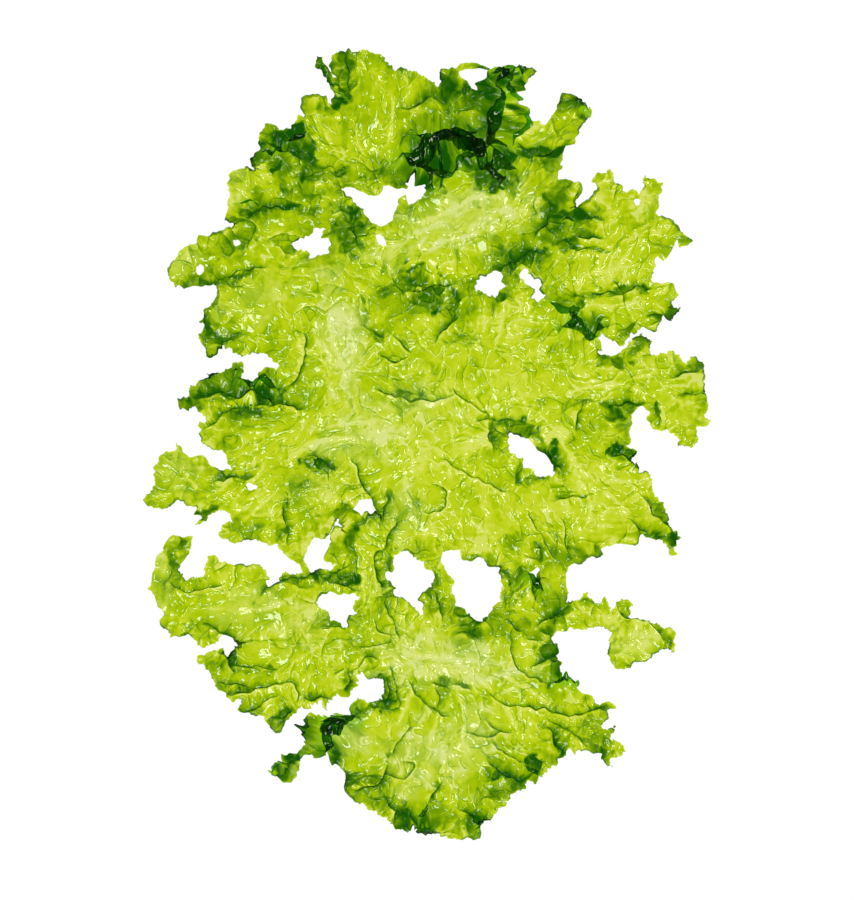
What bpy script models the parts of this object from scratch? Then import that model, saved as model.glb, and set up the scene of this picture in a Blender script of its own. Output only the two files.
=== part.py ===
"""Sea lettuce: one wide, thin, deeply lobed blade with torn margins and holes, lying flat.

Metres, +Z up. The blade lies on the XY plane with its long side along Y. The origin is under the middle
of its bounding box, on the surface that it rests on. The real membrane is about a tenth of a millimetre
thick: the solid here is thicker, so that it can be handled, and its margins lift off in slow waves.
"""
import math

import bmesh
import bpy
import numpy as np
from mathutils import Vector
from mathutils.geometry import delaunay_2d_cdt

MM = 0.001

# Driving dimensions, in metres
THICKNESS = 0.9 * MM
LIFT = 8.0 * MM  # how far the highest margins stand off the surface
LIFT_REACH = 17.0 * MM  # the lift has died out this far in from a margin
MARGIN_STEP = 2.6 * MM  # longest straight stretch along a margin
INNER_STEP = 5.6 * MM  # spacing of the points away from the margins
MARGIN_CLEARANCE = 0.45  # inner points keep this share of their spacing to a margin

# Slow waves that lift the margins: wavelengths in metres
WAVE_ALONG_X = 46 * MM
WAVE_ALONG_Y = 38 * MM
WAVE_DRIFT = 61 * MM

MEMBRANE_GREEN = (0.33, 0.56, 0.02, 1.0)
WET_ROUGHNESS = 0.18

# The outer margin, lobe by lobe, clockwise from the left of the crown, in millimetres
CROWN_LEFT = [
    (-66, 87), (-65.3, 90), (-61.9, 91.6), (-59.5, 91.8), (-56.4, 90.6), (-57.5, 95.2), (-55.6, 97.5),
    (-55.5, 102), (-53.2, 106.6), (-50, 105.6), (-45.5, 104.8), (-42.4, 109.4), (-40.3, 109), (-41.2, 112),
    (-39.5, 115.3), (-33.3, 115), (-31.9, 113.3), (-30.4, 116),
]
ROLLED_STRIP = [
    (-32.7, 120.3), (-34.9, 124), (-36.8, 124.9), (-36.3, 128.3), (-34.4, 128.4), (-34, 126.7),
    (-31.9, 123.9), (-30.4, 121.6),
]
FAN = [
    (-32.2, 125.8), (-31.6, 128.4), (-28.8, 130.4), (-23.8, 130.8), (-19.7, 130.9), (-14.9, 129.4),
    (-13.4, 127.5), (-9.9, 125.2), (-5.2, 124.7), (-2.4, 123.1), (0, 121.2), (2.5, 120), (3.6, 118.6),
]
TOP_STRIP = [
    (4.8, 120.4), (5.9, 124.3), (9.8, 124.6), (11.2, 126.4), (16.2, 126.8), (20.3, 125.6), (22.6, 124.9),
    (27.8, 125.3), (30.9, 126.1), (34.1, 125), (36.8, 123.7), (35.1, 122.8), (32.8, 120.3), (30.4, 115.8),
]
CROWN_RIGHT = [
    (30.9, 113.6), (33.4, 110.4), (34.9, 107.9), (36.9, 107.9), (39.2, 106.3), (41.7, 108.3), (43.9, 112.2),
    (46.9, 117.1), (49.2, 114.4), (54.8, 111.9), (55.6, 109.5), (52.7, 108), (50.6, 103.8), (49, 99.6),
    (46.4, 99.2), (45.3, 96.5), (45.2, 93), (46, 92), (44.3, 90.8), (43.7, 87.6), (48.1, 87.9), (51.2, 85.1),
    (48.8, 80.6), (49.6, 78.5),
]
RIGHT_SHOULDER = [
    (52.6, 79.4), (55.3, 81.3), (57.6, 85.2), (55.5, 86.7), (57.1, 89.5), (60.9, 91.7), (62.3, 90.4),
    (62.2, 86.9), (65.3, 85.3), (66.5, 83.2), (68.7, 84.2), (70.3, 83.2), (72.7, 86.1), (72.5, 89.2),
    (78.7, 86.4), (77.8, 81.7), (76.2, 76.4), (80.1, 74.7), (83.5, 72), (85.6, 69.7), (89, 67.4),
    (86.7, 65.8), (84.4, 65.6), (83.6, 67.8), (81.4, 63.7), (79.2, 61.2), (77.2, 62.2), (76.2, 58.3),
    (75, 56.4), (75.3, 54.4), (78.5, 53.6), (81.7, 53.6), (83.9, 50), (81.5, 46.8), (81.9, 45.4),
    (84.9, 45.2), (82.3, 43.3), (81.1, 40.9), (78.4, 43), (77.7, 40.6), (75.4, 37.6), (71.7, 39.2),
    (69.6, 37.2), (67.7, 36.7), (65.5, 32.6), (61.4, 34.7), (58.8, 36.8), (57.5, 34.5), (58.6, 31.9),
    (56.9, 30.2),
]
RIGHT_MIDDLE = [
    (58.7, 29.6), (60.8, 28.9), (65.9, 31.7), (70.1, 35.4), (71.6, 36.9), (71.8, 35), (74.3, 33.6),
    (74.7, 29.4), (79.8, 30.8), (82.3, 31.1), (84.8, 29.4), (86.6, 26.6), (88.7, 28.9), (91.4, 27.5),
    (92.2, 24.4), (91.7, 20.8), (92.4, 16), (93.6, 12.7), (92.7, 9.3), (94.5, 7.9), (93, 5.6), (90.5, 5.6),
    (90.5, 2), (88.1, -1.6), (85.6, -0.4), (83.4, -0.5), (83.4, 1.5), (79.8, 4.7), (77.1, 4.4), (74.3, 6.5),
    (74.1, 11), (71.5, 12), (68.7, 10.6), (68.9, 6.6), (67.7, 4), (68.4, 0.8), (66.4, -0.9), (70.4, -2.5),
    (67.8, -5.2), (70.2, -7), (70.2, -9.6),
]
RIGHT_LOWER = [
    (73.7, -9.6), (75.3, -12.5), (75.6, -16.7), (77.8, -18.5), (79.6, -22.5), (81.2, -27.5), (84.2, -31.2),
    (83.1, -33.8), (83.5, -36.9), (81.5, -37), (80.3, -34.2), (77.8, -31.5), (76, -32.3), (73.9, -30.7),
    (71, -30.8), (69.5, -32.7), (65.9, -33.1), (62.3, -33.4), (58.7, -35), (58.9, -37.5), (55.1, -36.5),
    (52.6, -37.5), (51.6, -39.2), (47.9, -40.2), (46.7, -44.5), (47, -50), (46.9, -53),
]
RIGHT_ARM = [
    (48.8, -52.7), (51.6, -50.9), (52.4, -49.3), (54.2, -49.8), (54.8, -51.6), (57.3, -53.3), (58.7, -53),
    (59.7, -51), (60.6, -53), (61.5, -54.9), (63, -54.2), (63.1, -52.2), (65.3, -51.7), (67.8, -52.5),
    (69, -53.9), (68, -55.2), (68.3, -56.8), (71.4, -58.3), (76.4, -60.1), (80.9, -61.1), (82.7, -62.3),
    (82.3, -64.3), (82.9, -66.3), (82.7, -69.2), (79.8, -68.6), (78.7, -67.5), (76.4, -68.9), (74.8, -70),
    (73.7, -71.9), (70.9, -71.9), (68.4, -72.8), (67.8, -74.4), (63.7, -74.9), (62.1, -73.8), (60.9, -70),
    (61.3, -66.3), (60.4, -64.9), (62.4, -63.2), (61, -61.6), (58.6, -60.3), (56, -60.8), (52.6, -61.9),
    (50.1, -61.7), (48.1, -60.8), (46.5, -62), (42.9, -63),
]
BASE_RIGHT = [
    (41.6, -65), (43.7, -66.9), (44.2, -68.9), (43.1, -70.6), (45.2, -73.1), (44.3, -75.2), (46, -76.2),
    (48, -77.5), (51, -80.2), (50.4, -82), (51.9, -82.7), (55.1, -84), (56.6, -86.6), (60.9, -85.8),
    (63.4, -87.8), (60.3, -88.6), (60.8, -91), (58.4, -92.6), (58.2, -94.2), (63.2, -93.8), (62.2, -96),
    (60.8, -98.3), (63.7, -99.2), (66.4, -101.4), (63.2, -104.2), (61.7, -104.6), (61.9, -107.1),
    (60.1, -105.3), (57.3, -103.1), (54.9, -101.4), (52.5, -101.6), (49.3, -102.9), (47.5, -102),
    (45.6, -103.6), (43.9, -106.1), (40.3, -108.6), (38.5, -109.8), (37.8, -111.3), (36.3, -112.7),
    (34.6, -112.6), (33, -114.6), (30, -115.2), (28.6, -117), (27.8, -119.2), (25.3, -121.1), (23.7, -123.1),
    (21.2, -124.6), (17.4, -125.8),
]
BASE_LEFT = [
    (18.1, -129.5), (14.5, -129.8), (11.7, -131.5), (8.1, -131), (4.9, -129.5), (3.9, -128.3), (0.8, -128.9),
    (-3, -128.3), (-4.5, -127), (-6.5, -128.8), (-11, -128), (-11.8, -125.3), (-14.1, -123.9),
    (-16.5, -122.3), (-20.2, -121), (-23.3, -118.8), (-24.9, -116.7), (-26.2, -114.5), (-26.3, -111),
    (-26.8, -108.4), (-29, -106.8), (-31, -106.3), (-33.2, -103.3), (-35.2, -104), (-37, -104.5),
    (-38.2, -103.2), (-40, -102.9),
]
TAIL = [
    (-41, -104), (-43, -108.3), (-44.9, -112.6), (-48, -112.3), (-50.8, -110), (-52, -109), (-50.8, -106.9),
    (-48.9, -106), (-47.6, -104), (-44.9, -102.9), (-41, -101.5), (-40.1, -98.5), (-41.2, -95.4),
    (-39.5, -93.5), (-38.9, -91.2), (-37.2, -90.3), (-33, -90.6), (-29.7, -91.1), (-26.2, -90.4),
]
LOWER_LEFT = [
    (-25.4, -87.8), (-24.3, -85.3), (-21.9, -85.2), (-19.4, -86.3), (-15.2, -85), (-13.5, -82.8),
    (-13.9, -80.6), (-15.6, -78.2), (-17.4, -77.2), (-19, -78), (-21.6, -75.9), (-22.9, -77.7),
    (-23, -79.8), (-25.4, -83.2), (-30.2, -84.2), (-33.6, -87.5), (-34.9, -86), (-38.3, -86.5), (-39.3, -87.7),
    (-43.3, -88.9), (-45.3, -90.6), (-46.4, -93.3), (-49.7, -95.3), (-52.4, -93.3), (-54.7, -90.2),
    (-58, -89.7), (-61.9, -89.1), (-63.6, -87.9), (-61.3, -86.7), (-62.5, -85.4), (-64.7, -85.6),
    (-66.3, -84.2), (-66.6, -82.6), (-69.4, -82.2), (-70.7, -80.6), (-71.9, -76.3), (-73.3, -74.4),
    (-75.2, -73.3), (-76.4, -71.7), (-75.4, -69.9), (-69.9, -68.9), (-67.6, -68), (-65.9, -71),
    (-64.2, -70), (-63.7, -68.4), (-61.4, -67.3), (-62.5, -65.8), (-64.7, -64.2), (-66.9, -63.5),
    (-68.3, -64.3), (-68.9, -65.8), (-73.8, -67.3), (-76, -66.4), (-76.9, -64.7), (-79.8, -63),
    (-81.9, -63.2), (-84.5, -63.9), (-85.8, -61.9), (-88, -59.6), (-88.6, -57.9), (-87, -56.6),
    (-88.8, -53.9), (-89.8, -51.2), (-93, -47.8), (-91.3, -45.2), (-90.4, -41.5), (-89.8, -38),
    (-88, -35.6), (-86.5, -32.2), (-84.1, -30.5), (-80.2, -30.7), (-78.3, -30.7), (-78.3, -34.4),
    (-79.1, -37.3), (-81.8, -40), (-82.6, -43), (-81.3, -43.7), (-79.8, -45.5), (-77.8, -44.6),
    (-75.8, -44.6), (-73.7, -43.3), (-73.9, -41.5), (-72.8, -37.6), (-69.7, -37.5), (-65.2, -40.6),
    (-62.4, -40.5), (-58.5, -40.3), (-54.1, -41.5), (-52.2, -44.6), (-53.3, -47.4),
]
LEFT_LOWER = [
    (-51.3, -47), (-49.4, -45.8), (-48.3, -43.3), (-46.5, -42.8), (-43, -43.1), (-41.4, -42.6),
    (-41.6, -41), (-44.1, -38.5), (-46.2, -38), (-49.2, -34.8), (-50, -33.3), (-54.1, -33.1), (-59.7, -31.2),
    (-63.8, -33.1), (-66.3, -31.7), (-69.2, -30.5), (-68.7, -28.3), (-67.2, -26.8), (-64.6, -25.8),
    (-65.3, -23.2), (-68.8, -21.8), (-71.9, -23.7), (-73.8, -25.9), (-77.2, -27), (-75.2, -24.5),
    (-77.2, -23.1), (-75.8, -21.1), (-78.8, -20.8), (-80.8, -18.7), (-83, -18.5), (-84.9, -19.5),
    (-87.7, -21.5), (-92.5, -20.8), (-94.7, -18.9), (-92.4, -17.1), (-90.3, -14.3), (-90.8, -11.4),
    (-89.9, -7.4), (-88.8, -4.5), (-87.2, -2.6), (-83.6, -2), (-83.1, 0.9), (-79.9, -2.7), (-78.8, -4.5),
    (-74.7, -3.5), (-72.5, -5.4), (-72, -6.8), (-68.6, -9), (-66.6, -8.6), (-65, -8.3), (-66.1, -6.8),
    (-66.5, -4), (-67.5, -2.3), (-70.2, -1.8), (-74, 0.2), (-74.9, 2), (-75.3, 5),
]
LEFT_MIDDLE = [
    (-75.6, 6.9), (-72.7, 7.8), (-74.4, 9.7), (-77.2, 12.1), (-81, 11.2), (-82.2, 12.7), (-82.7, 14.7),
    (-78.6, 15.3), (-78.6, 19.2), (-74.9, 21), (-71.9, 21.8), (-72.6, 23), (-69.1, 23.2), (-66.3, 25),
    (-64.1, 26.8), (-61.8, 26.4), (-60.8, 24.2), (-61.3, 22.8), (-59.7, 21.6), (-58.9, 19.5), (-56.9, 20.6),
    (-55.7, 22.2), (-55.5, 24.2), (-53, 25.5), (-50.6, 25), (-49.6, 26.3), (-51.6, 28.3), (-53.6, 30.2),
    (-56.3, 30.7), (-59.1, 29.7), (-61.4, 28.5), (-63.3, 30.6), (-65.2, 31.9), (-68.3, 33.1),
    (-70.2, 30.5), (-72.3, 29.2), (-72.7, 31.4), (-74.1, 33.6), (-76.1, 34.9), (-75.6, 37), (-73.7, 39),
    (-75.1, 41), (-73, 43.9), (-69.8, 46.5), (-69, 49.2), (-69.3, 51.7),
]
LEFT_SHOULDER = [
    (-70.2, 52.7), (-76.3, 52.4), (-79, 52.8), (-83, 52.3), (-84.4, 53.4), (-86.1, 57.4), (-84.6, 59.4),
    (-83, 62), (-81.7, 64.4), (-79.8, 65.9), (-76.6, 66.6), (-75.2, 68.9), (-71.5, 69.2), (-68, 70),
    (-65.2, 71.2), (-63.6, 73), (-66.8, 75), (-66.3, 78.9), (-66, 83),
]
OUTER_MARGIN = (
    CROWN_LEFT + ROLLED_STRIP + FAN + TOP_STRIP + CROWN_RIGHT + RIGHT_SHOULDER + RIGHT_MIDDLE + RIGHT_LOWER
    + RIGHT_ARM + BASE_RIGHT + BASE_LEFT + TAIL + LOWER_LEFT + LEFT_LOWER + LEFT_MIDDLE + LEFT_SHOULDER
)

# Torn holes, in millimetres
TORN_HOLES = {
    "crown hole": [
        (-28.6, 84.7), (-25.2, 85.5), (-23, 84.2), (-17.2, 82.6), (-14.8, 83.6), (-14.4, 86.4), (-9.9, 85.1),
        (-6.2, 84.6), (-6.8, 87.9), (-4, 88.5), (-2.9, 86.7), (-0.3, 86), (-0.5, 83.6), (-2.7, 81.1),
        (-5.6, 79.7), (-6.8, 82.7), (-9.7, 81.1), (-9.5, 79.2), (-11.6, 74.5), (-14.6, 72.2), (-17.7, 73.9),
        (-19.8, 75.5), (-20.4, 78.3), (-24, 80.6),
    ],
    "top loop": [
        (10.9, 123.4), (13.4, 124.5), (16.7, 124.8), (19.6, 125), (20.4, 123.9), (19.3, 121.9),
        (17.2, 120.8), (16.7, 117.7), (15.1, 118.9), (13.7, 120.8), (11.6, 121.7),
    ],
    "shoulder hole": [
        (-45.5, 66.7), (-40.2, 69), (-38, 70.6), (-36.3, 71.8), (-33.4, 71.8), (-34.5, 69.1), (-32.5, 67.5),
        (-33, 63.4), (-35.5, 62.5), (-38.9, 61.6), (-38.1, 63.3), (-41.9, 64.7),
    ],
    "sliver": [(-16.9, 69.2), (-14.4, 69.2), (-13.7, 67.6), (-13.1, 65.8), (-15.2, 66.5), (-16.3, 67.9)],
    "upper eye": [
        (17.3, 55.4), (19.2, 56.3), (22.6, 57.4), (25.8, 55.8), (25, 54), (26.2, 52.7), (24.8, 51.6),
        (23, 49), (20.1, 49.3), (18.1, 50.7), (15.5, 50.9), (16.6, 52.3),
    ],
    "right eye": [
        (33.6, 58.4), (34.2, 56.5), (36.2, 55.2), (38, 54.6), (38.7, 51.1), (39.9, 49.2), (38, 47.2),
        (35.2, 48.7), (35.2, 51.7), (33.1, 53.7), (30.9, 55.6), (31.6, 57),
    ],
    "middle hole": [
        (27.6, 3.7), (29.8, 3.9), (32.2, 2.5), (35.3, 0.8), (37.5, -2.3), (40.9, -4.5), (42.2, -7.2),
        (42.4, -10.8), (40.3, -10.1), (38.1, -11), (36, -9.3), (34.4, -8.1), (32.2, -8), (32.6, -5),
        (30.5, -4.1), (28.5, -2), (27.1, 0),
    ],
    "small gap": [
        (-24.2, -21), (-21.3, -18.6), (-18.4, -18.5), (-16.9, -20.6), (-16.4, -23.1), (-18, -23.8),
        (-19.7, -22.9), (-21.6, -23.7), (-23.1, -23),
    ],
    "slanted gap": [
        (-30.6, -26), (-28.9, -24.6), (-28.3, -25.7), (-26.9, -27.4), (-29.7, -28.2), (-31.3, -30),
        (-31.9, -33.3), (-33.7, -36.9), (-33.4, -38.7), (-31.4, -39.6), (-31.2, -41.7), (-35.2, -42.1),
        (-38.2, -43), (-40.2, -39.9), (-40, -36), (-37.8, -31.8), (-36.1, -31.2), (-34.4, -31.6),
        (-32.3, -29.7),
    ],
    "throat": [
        (-8.6, -35.5), (-6.2, -35.1), (-4.5, -36.5), (-2.7, -38.6), (-0.7, -39.1), (-0.2, -41.4),
        (1.7, -42.6), (2.9, -44.3), (2.3, -46.4), (2.3, -48.2), (-1.4, -49.9), (-2.2, -50.8), (-1.3, -54.4),
        (-1, -57.1), (-2.5, -57), (-4, -54.2), (-5.4, -53.6), (-6.8, -51.9), (-10.8, -51.3), (-11.7, -50),
        (-11.7, -48), (-13.1, -45.7), (-12.7, -43.5), (-10.8, -42), (-11.2, -38.8), (-9.3, -37.1),
    ],
    "heart": [
        (5.4, -35.8), (10.8, -35.2), (11.5, -38.2), (15.3, -39.1), (16.6, -38), (19.2, -38.5),
        (20.8, -40), (25, -40.9), (24.5, -43.5), (25.4, -46.9), (25, -50.6), (23.6, -53.1), (21.7, -55.6),
        (19.2, -57.7), (17.7, -59), (14.2, -56.5), (10.2, -53.5), (9.5, -50.6), (8, -47.6), (9.6, -45.7),
        (6.8, -42.8), (5, -38.9),
    ],
    "side slit": [(33.9, -43.9), (34.9, -42.6), (37.2, -41.1), (37.3, -46.4), (35.7, -45.4)],
    "left slit": [
        (-59.7, -13.4), (-58.6, -12.7), (-57.4, -13.6), (-55.9, -14.4), (-57.7, -15.3), (-59.1, -15.3),
    ],
    "left eye": [
        (-36.8, -52.2), (-36, -50.8), (-34.4, -49.8), (-31.3, -49.4), (-28, -50), (-23.8, -49.8),
        (-21.8, -50.9), (-23.5, -52), (-24.6, -54.7), (-22.8, -56.3), (-25, -57.1), (-25.9, -58.6),
        (-26.2, -60.6), (-27.9, -60.6), (-29, -59.3), (-31.7, -58.7), (-32.1, -55.7), (-34.7, -55.3),
        (-36, -54.2),
    ],
}

# Round punctures: centre and radius in millimetres
PUNCTURES = [(-75.1, 58.1, 1.4), (-63.2, 66.9, 1.0), (70.2, 80.8, 1.1)]
PUNCTURE_SIDES = 8


def curved(points):
    """The points of a closed margin with the long stretches rounded, as arrays of x and y in metres."""
    ring = np.array(points, dtype=float) * MM
    before = np.roll(ring, 1, axis=0)
    after = np.roll(ring, -1, axis=0)
    after_next = np.roll(ring, -2, axis=0)
    out = []
    for a, b, c, d in zip(before, ring, after, after_next):
        pieces = max(1, math.ceil(np.hypot(*(c - b)) / MARGIN_STEP))
        for k in range(pieces):
            t = k / pieces
            # A Catmull-Rom span, pulled halfway to its chord so that the torn corners stay crisp
            bend = 0.5 * (2 * b + (c - a) * t + (2 * a - 5 * b + 4 * c - d) * t * t
                          + (3 * b - 3 * c + d - a) * t ** 3)
            chord = b + (c - b) * t
            out.append((bend + chord) / 2)
    return np.array(out)


def puncture(x, y, radius):
    """A small round hole as a closed ring of points in metres."""
    turns = [2 * math.pi * k / PUNCTURE_SIDES for k in range(PUNCTURE_SIDES)]
    return np.array([(x + radius * math.cos(a), y + radius * math.sin(a)) for a in turns]) * MM


def inside(points, ring):
    """Which of the points lie inside a closed ring, by counting the edges to their right."""
    x, y = points[:, 0], points[:, 1]
    found = np.zeros(len(points), dtype=bool)
    for (x0, y0), (x1, y1) in zip(ring, np.roll(ring, -1, axis=0)):
        crosses = (y0 > y) != (y1 > y)
        if crosses.any():
            at = x0 + (y[crosses] - y0) * (x1 - x0) / (y1 - y0)
            found[crosses] ^= x[crosses] < at
    return found


def on_blade(points, rings):
    """Which points lie on the blade: inside its outer margin and in none of its holes."""
    found = inside(points, rings[0])
    for ring in rings[1:]:
        found &= ~inside(points, ring)
    return found


def gap_to_margin(points, rings):
    """The distance from each point to the nearest margin."""
    nearest = np.full(len(points), np.inf)
    for ring in rings:
        for start, end in zip(ring, np.roll(ring, -1, axis=0)):
            along = end - start
            t = np.clip((points - start) @ along / (along @ along), 0, 1)
            nearest = np.minimum(nearest, np.hypot(*(points - start - t[:, None] * along).T))
    return nearest


def inner_points(rings):
    """Points on a staggered grid over the blade, clear of its margins."""
    low, high = rings[0].min(axis=0), rings[0].max(axis=0)
    row_step = INNER_STEP * math.sqrt(3) / 2
    rows = []
    for j, y in enumerate(np.arange(low[1], high[1], row_step)):
        xs = np.arange(low[0] + (j % 2) * INNER_STEP / 2, high[0], INNER_STEP)
        rows.append(np.column_stack([xs, np.full(len(xs), y)]))
    grid = np.concatenate(rows)
    grid = grid[on_blade(grid, rings)]
    return grid[gap_to_margin(grid, rings) > MARGIN_CLEARANCE * INNER_STEP]


def blade_triangles(rings):
    """Points and triangles that fill the blade between its margins."""
    corners = np.concatenate(rings + [inner_points(rings)])
    edges = []
    first = 0
    for ring in rings:
        count = len(ring)
        edges += [(first + k, first + (k + 1) % count) for k in range(count)]
        first += count
    found, _, triangles, *_ = delaunay_2d_cdt([Vector(c) for c in corners], edges, [], 0, 1e-9)
    points = np.array([tuple(v) for v in found])
    triangles = np.array([t for t in triangles])
    kept = on_blade(points[triangles].mean(axis=1), rings)
    return points, triangles[kept]


def rise(points, gaps):
    """How high the underside stands over the surface: zero over the middle, waves along the margins."""
    x, y = points.T
    near = np.clip(1 - gaps / LIFT_REACH, 0, 1) ** 1.6
    drift = 1.3 * np.sin(2 * math.pi * (x - y) / WAVE_DRIFT)
    wave = np.sin(2 * math.pi * x / WAVE_ALONG_X + drift) + np.sin(2 * math.pi * y / WAVE_ALONG_Y - drift)
    return LIFT * near * np.clip(wave / 2, 0, 1)


def membrane_material():
    """Wet yellow-green membrane."""
    material = bpy.data.materials.new("membrane")
    material.use_nodes = True
    shader = material.node_tree.nodes["Principled BSDF"]
    shader.inputs["Base Color"].default_value = MEMBRANE_GREEN
    shader.inputs["Roughness"].default_value = WET_ROUGHNESS
    shader.inputs["Metallic"].default_value = 0.0
    material.diffuse_color = MEMBRANE_GREEN
    return material


def add_thallus():
    """The whole blade: a triangulated sheet at the height of its top, extruded straight down."""
    rings = [curved(OUTER_MARGIN)]
    rings += [curved(hole) for hole in TORN_HOLES.values()]
    rings += [puncture(*hole) for hole in PUNCTURES]
    points, triangles = blade_triangles(rings)
    heights = rise(points, gap_to_margin(points, rings))
    middle = (points.min(axis=0) + points.max(axis=0)) / 2
    places = points - middle

    shape = bmesh.new()
    corners = [shape.verts.new((x, y, z + THICKNESS)) for (x, y), z in zip(places, heights)]
    for triangle in triangles:
        shape.faces.new([corners[k] for k in triangle])
    loose = [v for v in shape.verts if not v.link_faces]
    bmesh.ops.delete(shape, geom=loose, context="VERTS")
    lowered = bmesh.ops.extrude_face_region(shape, geom=shape.faces[:])
    for item in lowered["geom"]:
        if isinstance(item, bmesh.types.BMVert):
            item.co.z -= THICKNESS
    bmesh.ops.triangulate(shape, faces=shape.faces[:])
    bmesh.ops.recalc_face_normals(shape, faces=shape.faces[:])

    mesh = bpy.data.meshes.new("thallus")
    shape.to_mesh(mesh)
    shape.free()
    mesh.materials.append(membrane_material())
    blade = bpy.data.objects.new("thallus", mesh)
    bpy.context.scene.collection.objects.link(blade)
    return blade


def main():
    for item in list(bpy.data.objects):
        bpy.data.objects.remove(item, do_unlink=True)
    add_thallus()


main()
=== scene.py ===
"""Looks of the sea lettuce: one wet, see-through green membrane, pleated, crinkled and torn."""
import math

import bpy
import numpy as np
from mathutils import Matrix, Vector
from mathutils.bvhtree import BVHTree
from mathutils.geometry import delaunay_2d_cdt
from mathutils.kdtree import KDTree


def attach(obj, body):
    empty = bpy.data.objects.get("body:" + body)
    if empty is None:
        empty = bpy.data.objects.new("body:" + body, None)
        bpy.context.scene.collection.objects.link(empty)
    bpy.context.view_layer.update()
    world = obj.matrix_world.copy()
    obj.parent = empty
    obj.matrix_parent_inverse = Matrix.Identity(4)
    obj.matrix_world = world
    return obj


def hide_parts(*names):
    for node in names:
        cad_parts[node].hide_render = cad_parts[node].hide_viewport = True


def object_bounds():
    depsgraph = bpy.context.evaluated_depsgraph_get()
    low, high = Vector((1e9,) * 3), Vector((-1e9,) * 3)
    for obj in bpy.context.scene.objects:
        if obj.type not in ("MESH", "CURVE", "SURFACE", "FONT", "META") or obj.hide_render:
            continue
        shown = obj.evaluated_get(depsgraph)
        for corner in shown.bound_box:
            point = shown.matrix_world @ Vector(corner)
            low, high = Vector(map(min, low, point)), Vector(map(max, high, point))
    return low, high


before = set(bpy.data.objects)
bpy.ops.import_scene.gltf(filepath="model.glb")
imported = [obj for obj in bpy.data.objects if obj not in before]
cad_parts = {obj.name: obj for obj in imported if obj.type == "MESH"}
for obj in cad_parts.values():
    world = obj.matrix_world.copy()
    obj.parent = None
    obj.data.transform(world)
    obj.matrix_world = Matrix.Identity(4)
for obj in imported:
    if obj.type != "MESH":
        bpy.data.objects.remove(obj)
CAD_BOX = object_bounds()

# Lengths are in millimetres, up to the mesh. The mesh, the floor, the light and the camera are in metres.
MM = 0.001
SEED = 20

FINE = 0.52             # spacing of the points along margins
SPACING = 0.64          # spacing of the points elsewhere
ON_MARGIN = 1e-3        # how close to a margin a point on it lies
OVERLAP = 0.47          # share of a fold's half width that it may draw over itself
STEEP = 0.30            # pull that makes a fold steep, without drawing it over itself
SLIGHT = 0.42           # pull that draws a narrow strip of a fold over itself
OVER = 0.8              # pull that draws a fold over itself, into three layers
WIDE_FOLD = 2.3         # overlap from which a listed fold is drawn over itself in full
FOLD_LIFT = 0.45        # height of a fold
FAR = 9.0               # distance to a fold's line where no fold is near
WRINKLE_CELL = 4.4      # one short wrinkle starts in each square of this side
CREASE_CELL = 8.5       # one curved crease lies in each square of this side
OUTLINE_WINDOW = 5.0    # stretch of margin that goes back to its place as one
OUTLINE_REACH = 4.0     # how far into the blade a margin takes the membrane with it
HALF_SOLID = 0.45       # half of the solid's thickness
LIFT = 1.2              # height of the membrane's middle above the solid's
FLATTENED = 1.0         # height below which the membrane flattens out on the floor
LOWEST = 0.15           # the membrane's lowest height
WIDEST_RIM = 8.0        # distance to the margin up to which the material knows it
ASIDE = 90.0            # a shift that gives an unrelated stretch of the same pattern

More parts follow.
